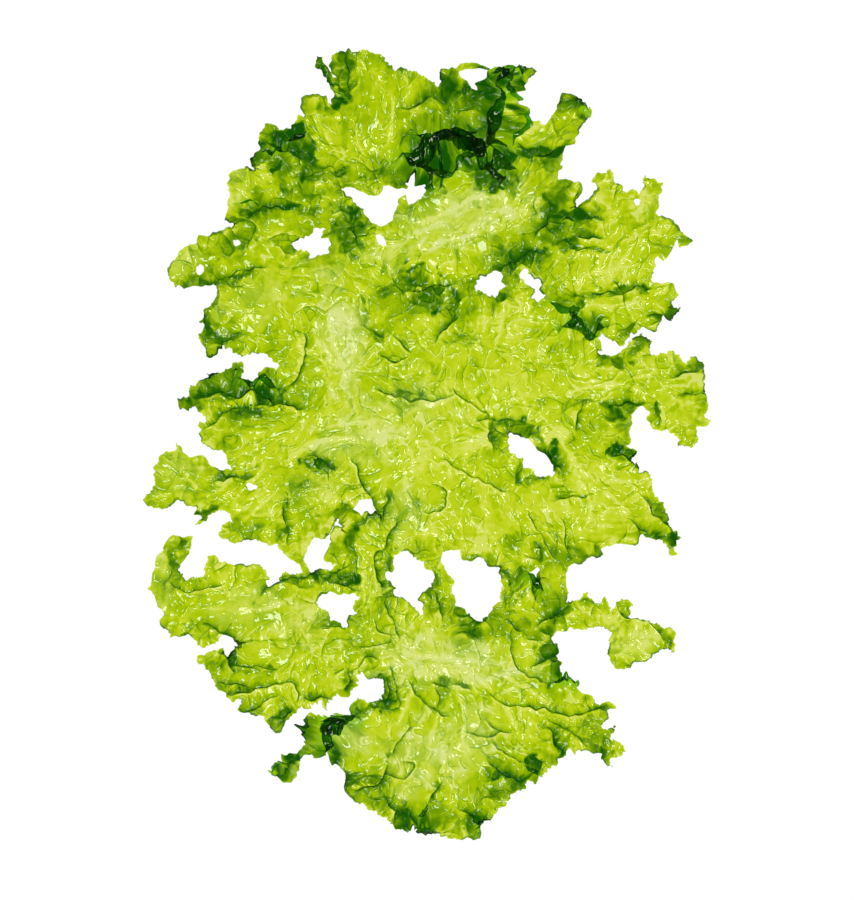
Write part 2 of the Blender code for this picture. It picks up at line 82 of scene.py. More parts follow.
# Folds: width of the overlap at the two ends, depth of colour (painted shade on a fold's far side and along
# its edge), and the line that they follow.
FOLDS = [
    # crown
    (2.4, 1.0, 0.5, [(-27, 134), (-26.2, 124), (-25.3, 114)]),
    (0.8, 5.5, 0.5, [(-11, 112), (-3, 112.8), (9, 114.5)]),
    (4.0, 3.2, 0.9, [(-15, 91), (-2, 97), (12, 100), (30, 97)]),
    (4.0, 3.0, 0.9, [(-9, 104), (6, 102.5), (20, 108)]),
    (5.0, 6.0, 0.7, [(18, 95), (22, 108), (26, 128)]),
    (3.0, 3.0, 0.8, [(-12, 99), (2, 92), (17, 90)]),
    (3.0, 3.0, 0.6, [(27, 96), (32, 106), (33, 118)]),
    (3.5, 2.5, 0.6, [(6, 88), (14, 95), (25, 101)]),
    (2.0, 2.0, 0.5, [(-59, 74), (-54.5, 79), (-42, 78)]),
    (1.2, 1.6, 0.4, [(-84, 51.5), (-70, 55), (-62, 57.5), (-50, 60)]),
    (2.2, 1.6, 0.5, [(-26, 77), (-24, 70), (-21, 63)]),
    (1.6, 2.2, 0.6, [(21, 55), (29, 61), (41, 66)]),
    (3.0, 1.5, 0.7, [(35, 68), (39, 73), (41, 79)]),
    (1.1, 1.1, 0.5, [(50, 75), (60, 75)]),
    (1.1, 1.1, 0.5, [(49, 69), (60, 69)]),
    (1.0, 1.4, 0.5, [(49, 64), (56, 65)]),
    (1.2, 1.2, 0.5, [(54, 50.5), (65, 50.5)]),
    (2.2, 2.2, 0.6, [(65, 50), (73, 53)]),
    (1.4, 1.4, 0.5, [(72, 44), (84, 43.5)]),
    (4.2, 3.6, 0.9, [(42, 38.5), (52, 38.6), (61, 39)]),
    (2.4, 2.4, 0.7, [(39, 50), (47, 45), (55, 40)]),
    (1.2, 1.2, 0.5, [(84, 17), (93, 17)]),
    (0.8, 3.2, 0.6, [(79, 21.5), (86, 23.5), (95, 27)]),
    (2.6, 2.0, 0.6, [(60, 13), (66, 13.5), (72, 14)]),
    (1.1, 1.1, 0.5, [(58, 9), (68, 9)]),
    (1.6, 1.2, 0.5, [(52, 17), (51, 10), (49.5, 3)]),
    # left middle
    (1.4, 2.2, 0.6, [(-80, 14), (-70, 17), (-62, 15.5), (-45, 14)]),
    (3.6, 3.0, 0.7, [(-67, 20), (-57, 20.5), (-46, 18)]),
    (1.0, 1.6, 0.5, [(-75, 4), (-69, 9), (-64.7, 11.4), (-50, 14), (-38, 11)]),
    (2.0, 2.0, 0.5, [(-71, 35), (-62, 35)]),
    (1.2, 1.2, 0.5, [(-40, 39), (-40.8, 30), (-41.5, 24), (-47, 18.5)]),
    (0.9, 0.9, 0.4, [(-23, 40.5), (-13, 35.5)]),
    (1.0, 1.0, 0.4, [(-12, 37.5), (-4.5, 29.5)]),
    (0.9, 0.9, 0.4, [(-17, 31), (-10, 27.5), (-5, 30.5)]),
    (0.9, 1.2, 0.4, [(-18, 18.5), (-2, 14.5), (10, 16.3)]),
    (0.9, 0.9, 0.4, [(8, 19), (23, 7.8)]),
    (1.1, 1.1, 0.5, [(16, 8), (34, 8.5)]),
    (2.2, 1.6, 0.5, [(21, 9), (21.5, 3), (22, -4)]),
    (3.2, 1.6, 0.7, [(3, 32), (6.5, 39), (12, 44)]),
    (1.8, 2.2, 0.5, [(-12, 50), (0, 52), (13, 55)]),
    (2.2, 2.2, 0.8, [(35, 1), (40, -3), (47, -10)]),
    (1.3, 1.3, 0.5, [(42, -17.5), (54, -17.5)]),
    (1.2, 1.2, 0.6, [(64, -1.5), (71, -9.5)]),
    (1.4, 1.4, 0.5, [(-73, -13), (-66, -11.5), (-59, -12)]),
    (2.2, 1.6, 0.6, [(-41, -3), (-35, -5.5), (-30, -10)]),
    (1.8, 1.8, 0.6, [(-47, -18), (-47, -26), (-46, -35)]),
    (1.1, 1.6, 0.5, [(-25, -3), (-19, -17), (-13, -26)]),
    (2.2, 1.0, 0.6, [(-12, -16), (-13.5, -22), (-16, -28)]),
    (1.3, 1.3, 0.6, [(-9, -24), (-13.5, -33), (-17, -38), (-14.5, -50)]),
    (1.2, 1.2, 0.4, [(-34, -43.5), (-23, -40.5)]),
    (1.1, 1.1, 0.4, [(-1.5, -21), (1, -23), (5, -22), (7, -18), (5.5, -14), (1, -13)]),
    (0.9, 0.9, 0.3, [(4, -4), (16, -11), (29, -16.5)]),
    (0.9, 0.9, 0.3, [(33, -22), (44, -39.5)]),
    (0.9, 0.9, 0.3, [(46, -23), (47, -38)]),
    (1.8, 1.8, 0.5, [(65, -24.5), (79, -31.5)]),
    (2.0, 2.0, 0.6, [(70, -15), (78, -25), (84, -35)]),
    # lower left lobe
    (1.2, 1.2, 0.4, [(-87, -44.5), (-80, -49), (-66, -46.2)]),
    (2.0, 2.0, 0.6, [(-75, -59.5), (-70, -61), (-65, -63.5), (-60.5, -70)]),
    (1.0, 3.0, 0.6, [(-70, -68), (-66.5, -71.5), (-63, -77.5)]),
    (0.9, 1.1, 0.4, [(-66, -74), (-54, -74.5), (-50.5, -76.5)]),
    (1.3, 1.3, 0.4, [(-71, -79), (-60, -80.5), (-53, -81.2)]),
    (1.2, 1.2, 0.5, [(-69, -83), (-60, -82.5), (-46, -79.3), (-43, -82), (-43.3, -87)]),
    (1.6, 1.6, 0.4, [(-65, -88.5), (-57, -87.5), (-48, -82)]),
    (1.8, 1.0, 0.6, [(-49, -94), (-46, -90), (-43.5, -87)]),
    (2.2, 1.4, 0.6, [(-42, -84.5), (-37, -84.5), (-31, -85)]),
    (1.6, 1.6, 0.7, [(-26.5, -75.5), (-25.5, -79), (-27.5, -83)]),
    (2.2, 2.2, 0.6, [(-15.5, -75.5), (-12.8, -80), (-13, -85), (-18, -89.5)]),
    (2.2, 2.2, 0.5, [(-36, -45), (-29, -46.5), (-20, -49)]),
    (2.0, 1.4, 0.6, [(-57, -51), (-50, -47), (-44, -45), (-32, -43.5)]),
    # tail and bottom lobe
    (6.5, 5.0, 0.9, [(-19, -88), (-28, -95), (-35, -107)]),
    (2.6, 2.0, 0.5, [(-39, -101), (-46, -107), (-54, -112)]),
    (1.0, 1.0, 0.4, [(-3.5, -92.5), (-8.5, -97.5), (-11.5, -105)]),
    (1.2, 1.8, 0.5, [(-13, -104), (-14.7, -111.5), (-26, -115)]),
    (1.0, 1.0, 0.4, [(-14.5, -109.5), (-7.5, -111), (-4.2, -107), (-8.5, -104.2)]),
    (1.0, 2.4, 0.6, [(5.5, -110.5), (3, -116), (0, -121)]),
    (2.0, 2.2, 0.6, [(-16, -114), (-11, -122), (-7, -130)]),
    (2.6, 2.0, 0.8, [(-8, -119), (-2, -125), (6, -126)]),
    (1.8, 1.8, 0.6, [(10, -119), (14, -124), (19, -129)]),
    (2.2, 2.2, 0.8, [(20, -103), (24, -109), (35, -113)]),
    (1.0, 1.2, 0.4, [(11, -95.5), (20, -97), (30, -96)]),
    (0.9, 1.1, 0.4, [(18, -90), (22, -94), (29, -96.5)]),
    (0.9, 1.2, 0.4, [(20, -97.5), (28, -104), (35, -106.5)]),
    (1.8, 1.8, 0.6, [(36, -111), (38, -107), (36, -103)]),
    (3.2, 1.8, 0.6, [(39, -92), (43.5, -99), (48, -105)]),
    (0.9, 1.1, 0.4, [(39, -90.5), (48, -95), (56, -102.5)]),
    (0.9, 0.9, 0.4, [(42, -92.5), (51, -97.5)]),
    # centre, between the holes
    (1.0, 1.1, 0.4, [(-15.5, -44), (-14, -52), (-11, -59), (-8, -66.5)]),
    (0.9, 0.9, 0.4, [(-16.5, -57), (-16, -62), (-10, -63.2)]),
    (1.0, 1.0, 0.4, [(-33, -60), (-26, -61.5)]),
    (0.9, 0.9, 0.4, [(-23, -76), (-19, -70.5), (-15, -71.7)]),
    (0.9, 0.9, 0.3, [(-23, -68), (-14, -66), (-9.5, -63.5)]),
    (1.0, 1.0, 0.4, [(-12.5, -72), (-10, -80), (-9, -87), (-14, -88.5)]),
    (1.0, 1.3, 0.5, [(-5.2, -77), (-3, -84), (2, -88), (9, -91.5)]),
    (2.2, 1.2, 0.5, [(2, -79), (4, -84), (3.5, -89)]),
    (1.0, 1.0, 0.6, [(1, -78.6), (9, -80.8)]),
    (0.9, 0.9, 0.5, [(8, -79.5), (16, -81.8)]),
    (2.0, 2.2, 0.5, [(2, -46), (5, -53), (5, -62)]),
    (2.2, 1.8, 0.5, [(8, -64), (14, -63), (20, -66)]),
    (2.0, 2.0, 0.6, [(7, -54), (17.5, -59.8), (25, -53.5)]),
    (2.0, 2.0, 0.5, [(25, -58), (34, -62.5)]),
    (1.2, 1.2, 0.4, [(28.5, -59), (28.5, -70), (31, -75), (41, -80.4)]),
    (0.9, 1.0, 0.4, [(20, -81.3), (26, -86.5), (37, -88.2)]),
    (1.3, 1.6, 0.5, [(31, -86.5), (45, -89.5), (51, -90), (61, -86)]),
    # right
    (4.0, 3.0, 0.9, [(30, -44), (35, -47.5), (39, -52)]),
    (1.0, 3.0, 0.6, [(34, -62), (42, -57.5), (50, -53.5)]),
    (1.2, 1.2, 0.5, [(37, -61.5), (43, -64.5)]),
    (1.0, 4.6, 0.8, [(34, -74), (40, -71.5), (48, -70)]),
    (3.4, 3.4, 0.8, [(40, -79), (46, -79.5), (53, -79)]),
    (1.4, 1.8, 0.5, [(62, -51.5), (66, -58), (74, -59.5), (82, -66)]),
]

# Places on the blade are listed as: middle, half widths, strength, and turn in degrees where there is one.

# Crumpled places, darker for their many layers.
CRUMPLES = [
    # crown, left side
    (-33, 121, 9, 1.8, 0.9, -66), (-26.5, 125, 2.2, 9, 0.5), (-48, 101, 7, 6, 0.8), (-40, 94, 4, 5, 0.6),
    (-35, 90, 6, 3, 0.45), (-56, 96, 3, 4, 0.35), (-12, 127, 4, 1.5, 0.4, -40), (0, 113, 4, 3, 0.35),
    (-5, 102, 4, 3, 0.45), (-15, 90, 5, 1.5, 0.35),
    # crown, right side
    (3, 93, 5, 7, 1.0), (10, 101, 10, 3, 0.95), (6, 105, 8, 2, 0.8), (20, 93, 8, 6, 0.75),
    (24, 87, 3, 3, 0.7), (7, 119, 2.5, 5, 0.55), (12, 114, 4, 4, 0.35), (18, 116, 3, 8, 0.6),
    (24, 121, 5, 5, 0.85), (31, 121, 3, 5, 0.75), (25, 110, 4, 8, 0.7), (22, 104, 5, 4, 0.6),
    (36, 97, 8, 1.5, 0.75, 8), (51, 112, 4, 2.5, 0.7, -35),
    # shoulders
    (-53, 78.5, 7, 2, 0.8, 5), (-64, 74, 4, 2, 0.5), (-60, 70, 4, 5, 0.4), (-75, 54, 10, 1.8, 0.5, 5),
    (-66, 66, 5, 6, 0.3), (-64, 55, 9, 1.5, 0.5, 15), (-46, 65, 3, 3, 0.5), (-26, 72, 6, 6, 0.6),
    (-25, 66, 4, 4, 0.5), (50, 76, 4, 4, 0.7), (44, 74, 5, 4, 0.55), (40, 77, 3, 5, 0.45),
    (45, 84, 3, 4, 0.4), (47, 66, 4, 3, 0.6), (35, 63, 5, 2.5, 0.7, 20), (28, 60, 4, 4, 0.6),
    (22, 64, 3, 3, 0.35), (25, 49, 2, 2, 0.5), (56, 75.5, 4, 1, 0.5), (56, 64.5, 4, 1, 0.45),
    (65, 51, 9, 1.3, 0.6, 5), (54, 49.5, 6, 1.3, 0.5), (49, 47, 3, 3, 0.7, -45), (55, 39, 5, 3, 0.9),
    (48, 42, 3, 3, 0.65, -45), (79, 43.5, 6, 1.3, 0.6, 5), (67, 38, 5, 1.2, 0.4, 45),
    (86, 68, 4, 1.5, 0.5, -20),
    # left middle
    (-74, 38, 3, 6, 0.5), (-68, 36, 4, 3, 0.4), (-80, 13, 4, 2.5, 0.3), (-62, 21, 3, 4, 0.65),
    (-53, 20, 5, 5, 0.6), (-64, 15, 15, 1.3, 0.55), (-63, 10, 6, 1.5, 0.5), (-22, 44, 2, 4, 0.35),
    (-17, 37, 4, 1.5, 0.45, -40), (-5, 55, 6, 5, 0.5), (1, 49, 5, 4, 0.6), (9, 47, 3, 5, 0.45),
    (-12, 51, 5, 2, 0.4), (-8, 17, 5, 1.3, 0.4), (-14, 29, 4, 1.2, 0.3), (12, 35, 6, 3, 0.25),
    # right middle
    (62, 27, 5, 3, 0.4), (70, 31, 5, 1.2, 0.35, 45), (87, 26, 4, 1.5, 0.35), (88, 17, 5, 1, 0.7),
    (77, 9, 1.5, 4, 0.6), (67, 13, 4, 3, 0.6), (63, 9, 4, 1.5, 0.55), (53, 14, 3, 2, 0.35),
    (28, 7.5, 6, 1.5, 0.5), (23.5, 2, 3, 4, 0.5), (43, -5, 2, 4.5, 0.85), (37, 2.5, 3, 1.2, 0.4, -30),
    (31, -10, 2, 3, 0.5), (36, -11.5, 3, 1.5, 0.5), (43, -14, 3, 2, 0.35), (47, -17, 5, 1, 0.45),
    (63, -2, 3, 3, 0.75), (68, -3, 3, 1.5, 0.55), (69, -8, 2, 1.5, 0.65), (76, -30, 3, 2, 0.7),
    (82, -31, 1.5, 4, 0.7), (79, -25, 1.2, 4, 0.5, 15), (70, -30, 4, 1, 0.45, -10), (37, -36, 3, 3, 0.45),
    (43, -33, 1, 5, 0.35), (49, -36, 3, 2, 0.35), (57, -35, 2, 2, 0.45), (28, -33, 4, 3, 0.25),
    # left, below the middle
    (-67, -11, 5, 1.5, 0.6), (-60, -11, 3, 1.3, 0.55), (-74, -23, 5, 1.5, 0.55, 30),
    (-36, -7, 5, 2.5, 0.65, -30), (-40, -14, 4, 2, 0.3), (-47, -23, 1.5, 5, 0.55), (-49, -30, 2, 4, 0.45),
    (-27, -23, 4, 3, 0.45), (-19, -26, 5, 1.5, 0.45), (-13, -19, 2, 5, 0.55), (-32, -33, 2, 5, 0.4),
    (-25, -36, 2, 6, 0.4), (-29, -44.5, 6, 2, 0.6), (-42, -45.5, 9, 1.3, 0.5, 12),
    (-52, -49, 4, 1.5, 0.55, 30), (-13, -40, 2, 6, 0.45), (-15, -52, 1, 6, 0.35), (-85, -33, 3, 3, 0.4),
    (-84, -43, 2, 5, 0.4), (-31, -60.5, 4, 2, 0.45), (-70, -61, 5, 1.3, 0.5, -15),
    (-62, -66, 3, 1.5, 0.4, -45), (-65, -72, 2, 4, 0.55), (-58, -75, 7, 1.2, 0.45),
    (-64, -80, 6, 1.5, 0.45, -10), (-60, -88, 4, 1, 0.4), (-48, -91, 4, 3, 0.55, 40),
    (-37, -84, 3, 1.5, 0.45), (-27, -78, 2, 3, 0.55), (-14, -82, 2.5, 6, 0.6),
    (-19, -88, 6, 1.5, 0.45, 15),
    # tail and base
    (-30, -96, 7, 6.5, 0.75), (-31, -104, 3, 3, 0.55), (-37, -101, 3, 2, 0.45),
    (-47, -108, 6, 3, 0.65, 35), (-24, -112, 4, 3, 0.55), (-18, -111, 4, 1, 0.45, 15),
    (-20, -118, 5, 2, 0.4, -25), (-14, -112, 1.5, 5, 0.4), (-12, -120, 3, 3, 0.4), (-9, -126, 3, 3, 0.55),
    (-3, -122, 3, 3, 0.65), (-1, -127, 5, 2, 0.75), (3, -115, 1.5, 4, 0.4, -25), (15, -126, 3, 3, 0.65),
    (22, -118, 3, 2.5, 0.5), (25, -111, 5, 2.5, 0.75), (32, -112, 4, 1.5, 0.55, 20),
    (36, -107, 3, 3, 0.7), (44, -100, 2, 5, 0.7, 10), (56, -100, 5, 1.5, 0.45, -35),
    (58, -87, 4, 1, 0.45), (5, -84, 2.5, 5, 0.4), (10, -79.5, 5, 1, 0.45, -10), (2, -88, 4, 1, 0.35, -30),
    # around the holes and down the right side
    (47, -79.5, 5, 2, 0.8), (43, -74, 2, 4, 0.55), (41, -68, 2.5, 4, 0.6), (38, -63, 4, 3, 0.45),
    (44, -57, 4, 2.5, 0.55), (35, -48, 5, 2, 0.9, -45), (31, -43, 2, 2, 0.6), (25, -42, 2, 3, 0.45),
    (28, -50, 4, 7, 0.35), (14, -63, 5, 3, 0.55), (20, -58, 5, 1.3, 0.5, 45), (3, -50, 3, 7, 0.4),
    (11, -57, 3, 3, 0.35), (28, -62, 6, 3, 0.3), (77, -60, 5, 1.5, 0.35, -20), (81, -66, 1.5, 3, 0.4),
    (62, -63, 1.5, 3, 0.35), (54, -53, 5, 1, 0.3),
]

# Crisp dark flaps, in colour only: depth of colour, and outline.
FLAPS = [
    # crown
    (1.6, [(-30.5, 130), (-25.2, 130.5), (-25.2, 115), (-27.7, 117.5), (-30.8, 118)]),
    (0.9, [(-28, 116.5), (-25.6, 114.5), (-26.2, 98), (-28, 99)]),
    (1.0, [(-10, 111.6), (3.4, 115.7), (3, 111), (-4, 111.2)]),
    (1.8, [(-53, 105), (-46, 104), (-37, 104.5), (-41, 99), (-42, 94), (-49, 94), (-50, 100)]),
    (2.2, [(17, 121), (22, 124), (27, 124.5), (31, 122), (28, 115), (26.5, 107), (22, 100.5), (17.5, 107),
           (18, 116)]),
    (1.4, [(7, 124), (10.5, 124), (10, 117), (13, 109), (8, 111), (6, 117)]),
    (2.6, [(-4, 104), (6, 106.5), (21, 100.5), (27, 97.5), (25, 87), (22.5, 84.5), (14, 93), (7, 90),
           (0, 93), (-7, 96)]),
    (1.8, [(-6, 93), (1, 92), (-1, 84), (-6, 87)]),
    (1.3, [(-20, 92), (-9, 93), (-7, 88), (-13, 86.5), (-16, 90)]),
    (1.8, [(43, 111), (50, 115), (55, 111), (51, 110)]),
    # shoulders
    (1.6, [(-61, 77), (-53, 81), (-43, 80), (-43, 78), (-56, 74.5)]),
    (1.5, [(38, 79), (45, 85), (47, 76), (56, 75), (50, 73), (60, 69), (48, 69), (42, 66), (38, 72)]),
    (1.3, [(25, 65), (34, 66), (42, 64), (39, 60), (30, 61), (24, 59)]),
    (2.2, [(45, 41.2), (58, 40.7), (57.5, 35.8), (44, 37)]),
    (2.0, [(46.8, 47), (50.5, 48.5), (55, 41.5), (48, 44.5)]),
    (1.4, [(54, 51.5), (65, 50.5), (63, 49), (55, 49)]),
    # left and right middle
    (2.0, [(-72, 22.5), (-62, 26), (-58, 19.5), (-51.5, 24.5), (-46, 18.5), (-48, 14.5), (-63.5, 16),
           (-78, 15)]),
    (1.8, [(-37.5, -10), (-34, -3.5), (-29, -7.5)]),
    (2.4, [(40.5, -1.5), (44.8, -3.9), (44.3, -7.5), (41.5, -7)]),
    (2.0, [(61.5, 1), (66, -2.5), (71, -3), (68, -7), (62, -4.5)]),
    (1.8, [(57, 15), (66, 15), (71, 11), (64, 9), (60, 12)]),
    # lower left, tail and base
    (1.8, [(-40, -91), (-26, -89), (-21, -91), (-25, -98), (-33, -108), (-36, -103), (-41, -98)]),
    (1.5, [(-45, -103), (-41, -103), (-47, -112), (-53, -109)]),
    (1.2, [(-41, -43), (-26, -42.5), (-22, -46), (-32, -47), (-42, -46)]),
    (1.6, [(19, -107), (25, -108), (35, -113), (36, -105), (40, -104), (36, -115), (22, -115)]),
    (1.5, [(-10, -119), (-1, -123), (5, -124), (3, -128), (-6, -129)]),
    (1.5, [(44, -93), (48, -100), (45, -105), (41, -98)]),
    (1.8, [(31, -43), (36, -46), (38, -52), (33, -50)]),
    (1.5, [(42, -78), (53, -78), (51, -82), (43, -80.5)]),
]

# Thin, whitish places.
PALE_PLACES = [
    (10, 76, 22, 8, 0.9, 20), (-27, 30, 6, 22, 0.8, 8), (-24, 0, 14, 6, 0.6), (-7, -24, 6, 9, 0.5),
    (8, -73, 20, 7, 0.9), (-6, -68, 10, 6, 0.5), (-24, -100, 5, 6, 0.75), (-8, 12, 14, 7, 0.35, 10),
    (-60, -55, 12, 7, 0.35), (-42, -60, 8, 7, 0.35), (-5, -104, 11, 10, 0.6), (12, -102, 10, 10, 0.6),
    (-64, 83, 3, 6, 0.4), (-81, 60, 5, 5, 0.4), (-84, -9, 7, 6, 0.3), (70, -66, 7, 5, 0.35),
    (-58, 48, 10, 5, 0.3, 10), (-88, -50, 4, 9, 0.35), (14, 105, 3, 3, 0.3), (-40, -16, 8, 5, 0.25),
]

# Places where the membrane lies smooth.
CALM_PLACES = [
    (-66, -52, 24, 10, 1.0, -10), (-87, -48, 6, 13, 1.0), (-84, -10, 10, 8, 1.0), (-76, 60, 10, 6, 0.9),
    (-64, 84, 5, 9, 0.9), (-14, 118, 13, 11, 0.8), (-55, 48, 15, 10, 0.8), (10, 78, 20, 8, 0.8, 20),
    (72, -64, 10, 7, 0.6), (22, -26, 12, 9, 0.7), (-6, -8, 10, 8, 0.7), (-58, -24, 14, 6, 0.8, 10),
    (64, -28, 10, 6, 0.7), (84, 8, 8, 8, 0.7), (-18, -98, 9, 6, 0.8), (66, 50, 14, 6, 0.6, 10),
]

# Places where the tissue is thinner and brighter.
BRIGHT_PLACES = [
    (0, 118, 5, 5, 0.5), (-43, 106, 4, 4, 0.5), (22, 112, 4, 4, 0.5), (33, 108, 4, 6, 1.3),
    (-52, 96, 3, 6, 0.8), (-4, 97, 5, 3, 0.7), (0, 98, 5, 4, 0.5), (18, 94, 6, 4, 0.7),
    (43, 97, 5, 5, 0.7), (-63, 80, 4, 6, 0.4), (75, 82, 8, 10, 0.6), (-62, 70, 6, 5, 0.6),
    (-60, 78, 4, 5, 0.6), (-22, 70, 5, 5, 0.3), (30, 78, 5, 6, 0.4), (46, 68, 3, 3, 0.2),
    (75, 78, 5, 6, 0.7), (-60, 58, 6, 4, 0.5), (-60, 60, 12, 5, 0.3), (-2, 56, 5, 6, 1.0),
    (12, 62, 8, 3, 0.5), (64, 65, 22, 24, 0.5), (-42, 46, 7, 5, 0.5), (58, 45, 14, 6, 0.4),
    (83, 45, 3, 3, 0.6), (-30, 32, 9, 9, 0.25), (3, 38, 4, 5, 0.5), (30, 36, 14, 9, 0.4),
    (57, 32, 5, 3, 0.5), (63, 41, 5, 4, 0.5), (62, 22, 10, 8, 0.35), (88, 25, 5, 6, 0.7),
    (-82, 14, 4, 3, 1.0), (24, 16, 18, 10, 0.5), (80, 12, 14, 14, 0.6), (4, 0, 16, 9, 0.5),
    (20, 2, 4, 4, 1.4), (42, 3, 6, 4, 1.6), (86, 2, 4, 4, 0.7), (-75, -12, 4, 4, 0.5),
    (-22, -17, 11, 6, 0.8), (-21, -12, 9, 6, 0.5), (-15, -17, 5, 4, 0.9), (48, -15, 32, 28, 0.15),
    (-90, -19, 5, 3, 0.5), (-55, -22, 10, 7, 0.3), (-45, -30, 8, 4, 0.5), (-30, -22, 8, 6, 0.7),
    (-28, -21, 5, 5, 1.4), (17, -29, 9, 7, 0.7), (65, -18, 20, 13, 0.6), (76, -22, 5, 9, 0.8),
    (-85, -36, 3, 5, 0.5), (-43, -37, 8, 7, 0.6), (-28, -33, 4, 4, 0.7), (-74, -52, 12, 10, 0.25),
    (-12, -53, 4, 3, 0.5), (2, -50, 3, 4, 1.3), (28, -48, 3, 5, 0.7), (-63, -64, 5, 3, 0.5),
    (-6, -58, 4, 7, 0.6), (52, -56, 7, 4, 0.5), (55, -55, 6, 4, 0.5), (70, -62, 15, 8, 0.8, -15),
    (10, -74, 18, 8, 0.3), (38, -68, 6, 5, 0.6), (80, -67, 4, 4, 0.5), (-47, -80, 7, 5, 0.3),
    (57, -88, 5, 5, 0.8), (-50, -92, 4, 3, 0.8), (-31, -93, 4, 3, 0.6), (47, -94, 5, 4, 0.5),
    (50, -100, 5, 3, 0.5), (-25, -106, 5, 9, 0.8), (14, -126, 5, 3, 0.4), (-8, -127, 6, 3, 0.9),
]

# Places where the tissue is denser and darker.
DENSE_PLACES = [
    (-17, 128, 5, 3, 0.5), (-32, 121, 4, 7, 1.8), (-14, 114, 10, 12, 0.35), (-2, 124, 5, 3, 0.3),
    (5, 115, 6, 7, 0.7), (22, 120, 6, 6, 2.8), (-54, 105, 4, 4, 1.2), (-13, 109, 8, 6, 0.5),
    (4, 107, 7, 4, 0.8), (15, 109, 4, 7, 1.2), (20, 105, 8, 5, 1.0), (26, 104, 5, 7, 1.3),
    (47, 111, 5, 4, 0.3), (-46, 95, 7, 8, 1.7), (-20, 91, 10, 4, 0.4), (-6, 91, 5, 4, 1.1),
    (7, 97, 9, 4, 2.6), (9, 95, 4, 4, 1.0), (24, 90, 7, 8, 1.0), (36, 96, 7, 4, 0.7), (44, 92, 4, 7, 1.0),
    (-50, 79, 8, 4, 0.6), (-42, 84, 7, 6, 1.0), (-7, 88, 5, 4, 1.9), (-1, 83, 4, 6, 0.8),
    (0, 80, 4, 3, 0.8), (-62, 76, 5, 6, 0.4), (-54, 76, 7, 6, 1.1), (-42, 68, 20, 16, 0.2),
    (-37, 70, 9, 8, 0.5), (-30, 77, 8, 3, 0.8), (-22, 74, 6, 4, 0.8), (-7, 76, 4, 6, 0.8),
    (40, 70, 4, 3, 0.9), (45, 75, 9, 6, 0.5), (50, 74, 6, 4, 0.9), (67, 75, 4, 4, 0.5),
    (80, 66, 4, 4, 0.5), (-75, 55, 9, 4, 0.3), (-40, 60, 9, 3, 0.6), (-9, 59, 5, 5, 0.6),
    (20, 61, 6, 3, 0.6), (24, 56, 5, 4, 0.7), (27, 64, 5, 5, 0.8), (30, 64, 6, 4, 1.0),
    (33, 63, 5, 4, 0.6), (-15, 48, 6, 5, 0.6), (-6, 44, 8, 5, 0.9), (5, 49, 7, 5, 0.8),
    (12, 42, 5, 5, 0.6), (16, 53, 5, 3, 0.8), (24, 48, 4, 3, 0.6), (47, 48, 4, 3, 0.8),
    (-69, 36, 7, 6, 0.8), (-35, 35, 24, 25, 0.15), (-22, 37, 6, 4, 0.7), (-20, 38, 8, 4, 0.4),
    (55, 40, 5, 4, 1.3), (-64, 23, 6, 4, 1.2), (-60, 18, 8, 3, 1.6), (-53, 30, 4, 6, 0.7),
    (-48, 30, 4, 5, 0.6), (-78, 14, 6, 4, 0.4), (-58, 9, 7, 4, 0.6), (-47, 14, 8, 5, 0.4),
    (-12, 12, 5, 6, 0.3), (-10, 15, 7, 3, 0.4), (65, 12, 5, 5, 0.1), (66, 14, 4, 4, 0.8),
    (91, 15, 2, 5, 1.0), (31, 4, 6, 3, 1.3), (45, -6, 3, 5, 1.0), (63, -3, 5, 4, 0.6),
    (65, -5, 4, 4, 0.5), (-80, -16, 9, 6, 0.3), (-38, -9, 8, 4, 0.3), (-75, -25, 4, 3, 0.8),
    (-62, -28, 6, 3, 0.6), (-43, -18, 5, 5, 0.5), (-12, -24, 5, 5, 0.5), (15, -38, 6, 2, 0.7),
    (40, -39, 8, 5, 0.6), (79, -31, 6, 4, 0.6), (-90, -52, 3, 7, 0.6), (-87, -54, 5, 7, 0.3),
    (-37, -45, 6, 4, 0.5), (33, -45, 4, 4, 0.7), (34, -47, 4, 4, 2.2), (42, -54, 6, 5, 0.6),
    (-34, -60, 5, 4, 0.6), (-16, -58, 6, 5, 0.4), (12, -60, 8, 4, 0.4), (40, -71, 5, 6, 0.6),
    (-18, -86, 7, 3, 0.7), (-1, -79, 4, 3, 0.5), (46, -79, 5, 4, 0.8), (-46, -101, 6, 7, 1.2),
    (-38, -101, 6, 5, 1.6), (-30, -99, 6, 5, 0.8), (12, -95, 8, 3, 0.3), (42, -100, 3, 7, 1.0, 30),
    (43, -102, 5, 5, 1.4), (55, -92, 6, 4, 0.7), (57, -97, 6, 6, 0.5), (-19, -112, 7, 6, 0.3),
    (26, -111, 6, 4, 0.5), (1, -125, 6, 4, 0.7), (14, -126, 5, 4, 0.6), (24, -119, 6, 4, 0.7),
]

# Where the blade's ribs meet.
RIB_CENTRES = [(-27, 25), (5, -73), (10, 70), (-15, 88), (22, 2), (-42, -62), (52, 48)]

# Narrow strips, where the membrane keeps its shape: a place in the strip, and how far around it.
NARROW_STRIPS = [(-34, 126, 4.5), (-31.5, 120, 4), (17, 126, 5), (11, 124, 3), (-42, -104, 3)]
